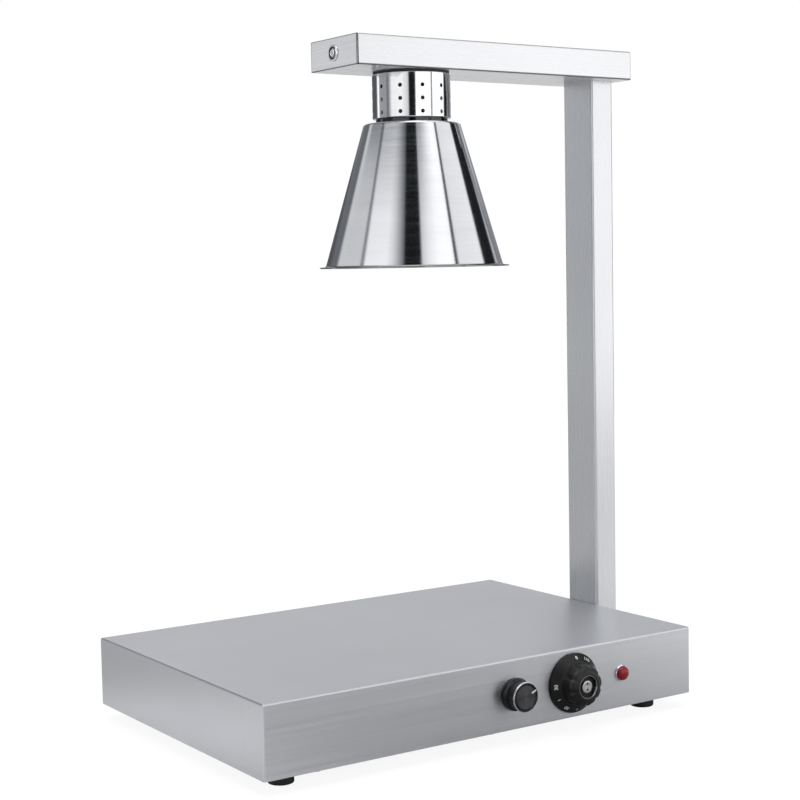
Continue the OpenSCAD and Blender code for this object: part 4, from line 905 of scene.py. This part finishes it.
def build_cord():
    """Round cord from the gland down to the floor and into a loose flat hank."""
    radius = 3.6 * MM
    z = cord_low.z + radius
    x0, x1 = cord_low.x + radius, cord_high.x - radius
    y0 = casing_high.y + 41 * MM
    y1 = cord_high.y - radius
    drop_y = casing_high.y + 37 * MM
    top = (gland_low.z + gland_high.z) / 2
    pitch = 10 * MM
    plug_x = plug_low.x
    plug_y = (plug_low.y + plug_high.y) / 2
    corners = [
        (x1, casing_high.y - 19 * MM, top), (x1, drop_y, top), (x1, drop_y, z), (x1, y1, z), (x0, y1, z),
        (x0, y0, z), (x1 - pitch, y0, z), (x1 - pitch, y1 - pitch, z), (x0 + pitch, y1 - pitch, z),
        (x0 + pitch, plug_y, z), (plug_x + 4 * MM, plug_y, z)]
    bends = [14] * 2 + [26, 34, 34, 26, 26, 24, 20]
    points = [Vector(corners[0])]
    for i in range(1, len(corners) - 1):
        here = Vector(corners[i])
        before = Vector(corners[i - 1]) - here
        after = Vector(corners[i + 1]) - here
        reach = min(bends[i - 1] * MM, before.length * 0.49, after.length * 0.49)
        a, b = here + before.normalized() * reach, here + after.normalized() * reach
        for k in range(9):
            t = k / 8
            points.append(a.lerp(here, t).lerp(here.lerp(b, t), t))
    points.append(Vector(corners[-1]))
    bm = bmesh.new()
    sides = 20
    side = Vector((1, 0, 0))
    loops = []
    for i, point in enumerate(points):
        along = (points[min(i + 1, len(points) - 1)] - points[max(i - 1, 0)]).normalized()
        side = (side - along * side.dot(along)).normalized()
        up = along.cross(side)
        loops.append([point + radius * (side * math.cos(2 * math.pi * k / sides)
                                        + up * math.sin(2 * math.pi * k / sides)) for k in range(sides)])
    piece("supply_cord", loft(bm, loops), rubber, CHASSIS, "cord_rubber", "power_cord")


def build_plug():
    """Moulded plug on its back: round body, ribbed cord sleeve, recesses for its pins and earth clips."""
    centre = (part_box("plug_pins")[0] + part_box("plug_pins")[1]) / 2
    r = (plug_high.y - plug_low.y) / 2 / MM
    height = plug_high.z / MM
    body = lathe([(0, 0)] + fillet([
        (r - 2, 0, 0.8), (r, 3, 2.5), (r, height - 2.5, 0.8), (r - 1.6, height, 1.0)], 5) + [(0, height)], 96)
    start = (plug_low.x - centre.x) / MM
    sleeve = box_mesh((start, -6.6, 1.0), (-r * 0.6, 6.6, 11.6), 2.4, 4)
    notches = [box_mesh((start + 2.5 + 3 * k, s * 6.9 - 1.1, -1), (start + 3.7 + 3 * k, s * 6.9 + 1.1, 14))
               for k in range(2) for s in (-1, 1)]
    pins = [rod((0, s * 9.5, height - 6), (0, s * 9.5, height + 2), 2.1) for s in (-1, 1)]
    clips = [box_mesh((s * r - 2.0, -2.1, height - 7), (s * r + 2.0, 2.1, height + 2)) for s in (-1, 1)]
    at = Matrix.Translation((centre.x, centre.y, 0)) @ Matrix.Scale(MM, 4)
    shell = joined(cut(body, *pins, *clips), cut(sleeve, *notches))
    piece("plug_body", moved(shell, at), soft_black, CHASSIS, "cord_rubber", "power_plug")


for build in (build_casing, build_post, build_arm_cover, build_end_cap, build_end_screw, build_gasket,
              build_neck, build_shade, build_dial, build_dial_marks, build_dial_trim, build_knob, build_pilot,
              build_cord, build_plug):
    build()

# ---------------------------------------------------------------- studio

BACKGROUND = 1.0
CEILING = 1.25
FLOOR_R = 3.5
CAMERA_AT = Vector((-0.987, -1.4833, 0.4776))
CAMERA_TURN, CAMERA_TILT, CAMERA_ROLL = -33.97, -4.627, -1.084
LENS_MM = 76.49


# (metres from a spot in front of the object, tone that the metal mirrors)
FLOOR_TONES = [(0.0, 0.27), (0.2, 0.36), (0.32, 0.56), (0.42, 0.82), (0.53, 1.0), (0.65, 0.95), (0.8, 0.60)]


def tone_ramp(tree, value, stops):
    """Grey value along value, from (position, level) pairs in rising order."""
    ramp = add(tree, "ShaderNodeValToRGB", {0: value})
    elements = ramp.color_ramp.elements
    elements.remove(elements[1])
    top = max(level for _, level in stops)
    for index, (where, level) in enumerate(stops):
        element = elements.new(where) if index else elements[0]
        element.position = where
        element.color = (level / top, level / top, level / top, 1)
    return calc(tree, "MULTIPLY", ramp.outputs[0], top)


def build_floor():
    """Pale floor. The metal mirrors it in uneven tones, with an even stretch far off to the right."""
    material, tree, bsdf = new_material("studio_floor")
    coords = place_of(tree)
    x, y, _ = split(tree, coords)
    middle = {0: coords, 1: (0.05, -0.36, 0)}
    near = add(tree, "ShaderNodeVectorMath", middle, operation="DISTANCE").outputs["Value"]
    tones = tone_ramp(tree, near, FLOOR_TONES)
    right_tone = remap(tree, y, -0.3, 0.3, 1.0, 0.75)
    rightness = remap(tree, x, 0.42, 0.75, 0, 1, True)
    mirrored = calc(tree, "MULTIPLY_ADD", rightness, calc(tree, "SUBTRACT", right_tone, tones), tones)
    paper = noise(tree, coords, 40.0, 3.0)
    seen = add(tree, "ShaderNodeLightPath").outputs["Is Camera Ray"]
    colour = add(tree, "ShaderNodeMix", {0: seen, 6: mirrored, 7: blend_colour(
        tree, paper, (0.85, 0.85, 0.85), (0.87, 0.87, 0.87))}, data_type="RGBA").outputs[2]
    feed(tree, bsdf, Base_Color=colour, Roughness=0.8, Specular_IOR_Level=0.1)
    glow = add(tree, "ShaderNodeEmission", {"Color": (1, 1, 1, 1), "Strength": 1.06 * BACKGROUND}).outputs[0]
    far = add(tree, "ShaderNodeVectorMath", {0: coords}, operation="LENGTH").outputs["Value"]
    bright = calc(tree, "MULTIPLY", seen, remap(tree, far, 0.9, 3.2, 0.86, 1, True))
    mix = add(tree, "ShaderNodeMixShader", {0: bright, 1: bsdf.outputs[0], 2: glow})
    tree.links.new(mix.outputs[0], tree.nodes["Material Output"].inputs["Surface"])
    bm = bmesh.new()
    bmesh.ops.create_circle(bm, cap_ends=True, radius=FLOOR_R, segments=96)
    mesh = bpy.data.meshes.new("floor")
    bm.to_mesh(mesh)
    bm.free()
    floor = bpy.data.objects.new("floor", mesh)
    floor.location.z = -0.2 * MM
    bpy.context.scene.collection.objects.link(floor)
    mesh.materials.append(material)


# Panels round the horizon: (degrees to the right of the camera, brightness)
LOW_PANELS = [
    (-180, 0.12), (-124, 0.12), (-121, 0.60), (-117, 1.1), (-115.5, 1.7), (-112.5, 1.7), (-109, 0.50),
    (-100, 0.42), (-79, 0.42), (-76, 0.20), (-72, 0.25), (-66, 0.60), (-60, 1.2), (-30, 1.30), (-10, 0.90),
    (-6, 0.012), (11, 0.012), (14, 1.7), (58, 1.7), (60, 0.25), (63, 0.25), (65, 1.72), (75, 1.62),
    (108, 1.5), (111, 0.02), (144, 0.02), (148, 0.35), (180, 0.20)]
HIGH_PANELS = [
    (-180, 0.84), (-170, 0.84), (-164, 0.50), (-150, 0.22), (-126, 0.20), (-120, 0.85), (-80, 0.90),
    (-78, 0.35), (-75, 0.35), (-71, 1.35), (-40, 1.42), (-31, 1.1), (-22, 0.60), (-16, 0.26), (-13, 0.012),
    (9, 0.012), (12, 1.0), (22, 1.35), (35, 1.55), (57, 1.55), (58.7, 0.06), (62.3, 0.06), (64, 1.15),
    (105, 1.25), (108, 0.02), (132, 0.02), (136, 0.70), (164, 0.60), (170, 0.84), (180, 0.84)]


def panel_ramp(tree, angle, panels):
    turn = remap(tree, angle, -180, 180, 0, 1)
    return tone_ramp(tree, turn, [((degrees + 180) / 360, level) for degrees, level in panels])


def wall_light(tree, angle, rise):
    """Brightness of the studio's walls: a row of panels near the horizon and another above it."""
    behind = calc(tree, "MULTIPLY", remap(tree, calc(tree, "ABSOLUTE", angle), 160, 168, 0, 0.95),
                  remap(tree, rise, -1, 2, 1, 0))
    low = calc(tree, "MAXIMUM", panel_ramp(tree, angle, LOW_PANELS), behind)
    high = panel_ramp(tree, angle, HIGH_PANELS)
    tall = calc(tree, "MULTIPLY", remap(tree, angle, 62, 65, 0, 1), remap(tree, angle, 100, 106, 1, 0))
    above = calc(tree, "SUBTRACT", rise, calc(tree, "MULTIPLY", tall, 8.5))
    higher = remap(tree, above, 8.5, 11.5, 0, 1, True)
    return calc(tree, "MULTIPLY_ADD", higher, calc(tree, "SUBTRACT", high, low), low)


def dark_tops(tree, angle, rise):
    """Factor for the dark tops of the panels left of the camera, on the curve that the shade mirrors."""
    half = calc(tree, "MULTIPLY", calc(tree, "RADIANS", angle), 0.5)
    over = calc(tree, "SUBTRACT", rise, calc(tree, "MULTIPLY", calc(tree, "COSINE", half), 32.0))
    start = remap(tree, angle, -75, -71, 3.3, 1.8)
    least = remap(tree, angle, -75, -71, 0.18, 0.34)
    side = calc(tree, "MULTIPLY", remap(tree, angle, -118, -110, 0, 1), remap(tree, angle, 20, 45, 1, 0))
    share = calc(tree, "MULTIPLY", side, remap(tree, over, start, 5.2, 0, 1, True))
    return calc(tree, "SUBTRACT", 1.0, calc(tree, "MULTIPLY", share, calc(tree, "SUBTRACT", 1.0, least)))


def build_world():
    """Soft studio surround of white panels with dark gaps. The camera itself sees plain white."""
    world = bpy.data.worlds.new("studio")
    bpy.context.scene.world = world
    world.use_nodes = True
    tree = world.node_tree
    tree.nodes.clear()
    x, y, z = split(tree, add(tree, "ShaderNodeTexCoord").outputs["Generated"])
    camera_angle = math.atan2(CAMERA_AT.y - lamp_centre.y, CAMERA_AT.x - lamp_centre.x)
    c, s = math.cos(camera_angle), math.sin(camera_angle)
    forward = calc(tree, "MULTIPLY_ADD", x, c, calc(tree, "MULTIPLY", y, s))
    right = calc(tree, "MULTIPLY_ADD", x, -s, calc(tree, "MULTIPLY", y, c))
    angle = calc(tree, "DEGREES", calc(tree, "ARCTAN2", right, forward))
    rise = calc(tree, "DEGREES", calc(tree, "ARCSINE", z))
    wall = calc(tree, "MULTIPLY", wall_light(tree, angle, rise), dark_tops(tree, angle, rise))
    ceiling = remap(tree, rise, 38, 62, 0, 1, True)
    light = calc(tree, "MULTIPLY_ADD", ceiling, calc(tree, "SUBTRACT", CEILING, wall), wall)
    tint = add(tree, "ShaderNodeMix", {0: light, 6: (0.90, 0.95, 1.06, 1), 7: (1.0, 1.0, 1.0, 1)},
               data_type="RGBA").outputs[2]
    surround = add(tree, "ShaderNodeBackground", {"Color": tint, "Strength": light}).outputs[0]
    plain = add(tree, "ShaderNodeBackground", {"Color": (1, 1, 1, 1), "Strength": BACKGROUND}).outputs[0]
    seen = add(tree, "ShaderNodeLightPath").outputs["Is Camera Ray"]
    mix = add(tree, "ShaderNodeMixShader", {0: seen, 1: surround, 2: plain})
    add(tree, "ShaderNodeOutputWorld", {0: mix.outputs[0]}).is_active_output = True


def build_lights():
    """One broad overhead softbox for shape and a soft shadow under the base."""
    light = bpy.data.lights.new("softbox", "AREA")
    light.shape = "RECTANGLE"
    light.size, light.size_y = 2.2, 1.6
    light.energy = 14
    obj = bpy.data.objects.new("softbox", light)
    bpy.context.scene.collection.objects.link(obj)
    obj.location = (-0.6, -0.5, 2.6)
    obj.rotation_euler = (Vector((0, 0, 0.2)) - obj.location).to_track_quat("-Z", "Y").to_euler()


def build_camera():
    data = bpy.data.cameras.new("camera")
    data.lens = LENS_MM
    data.sensor_width = 36
    data.clip_start, data.clip_end = 0.05, 200
    camera = bpy.data.objects.new("camera", data)
    bpy.context.scene.collection.objects.link(camera)
    camera.location = CAMERA_AT
    turn = Matrix.Rotation(math.radians(CAMERA_TURN), 3, "Z")
    tilt = Matrix.Rotation(math.radians(90 + CAMERA_TILT), 3, "X")
    roll = Matrix.Rotation(math.radians(CAMERA_ROLL), 3, "Z")
    camera.rotation_euler = (turn @ tilt @ roll).to_euler()
    bpy.context.scene.camera = camera


build_floor()
build_world()
build_lights()
build_camera()
bpy.context.scene.view_settings.view_transform = "Standard"
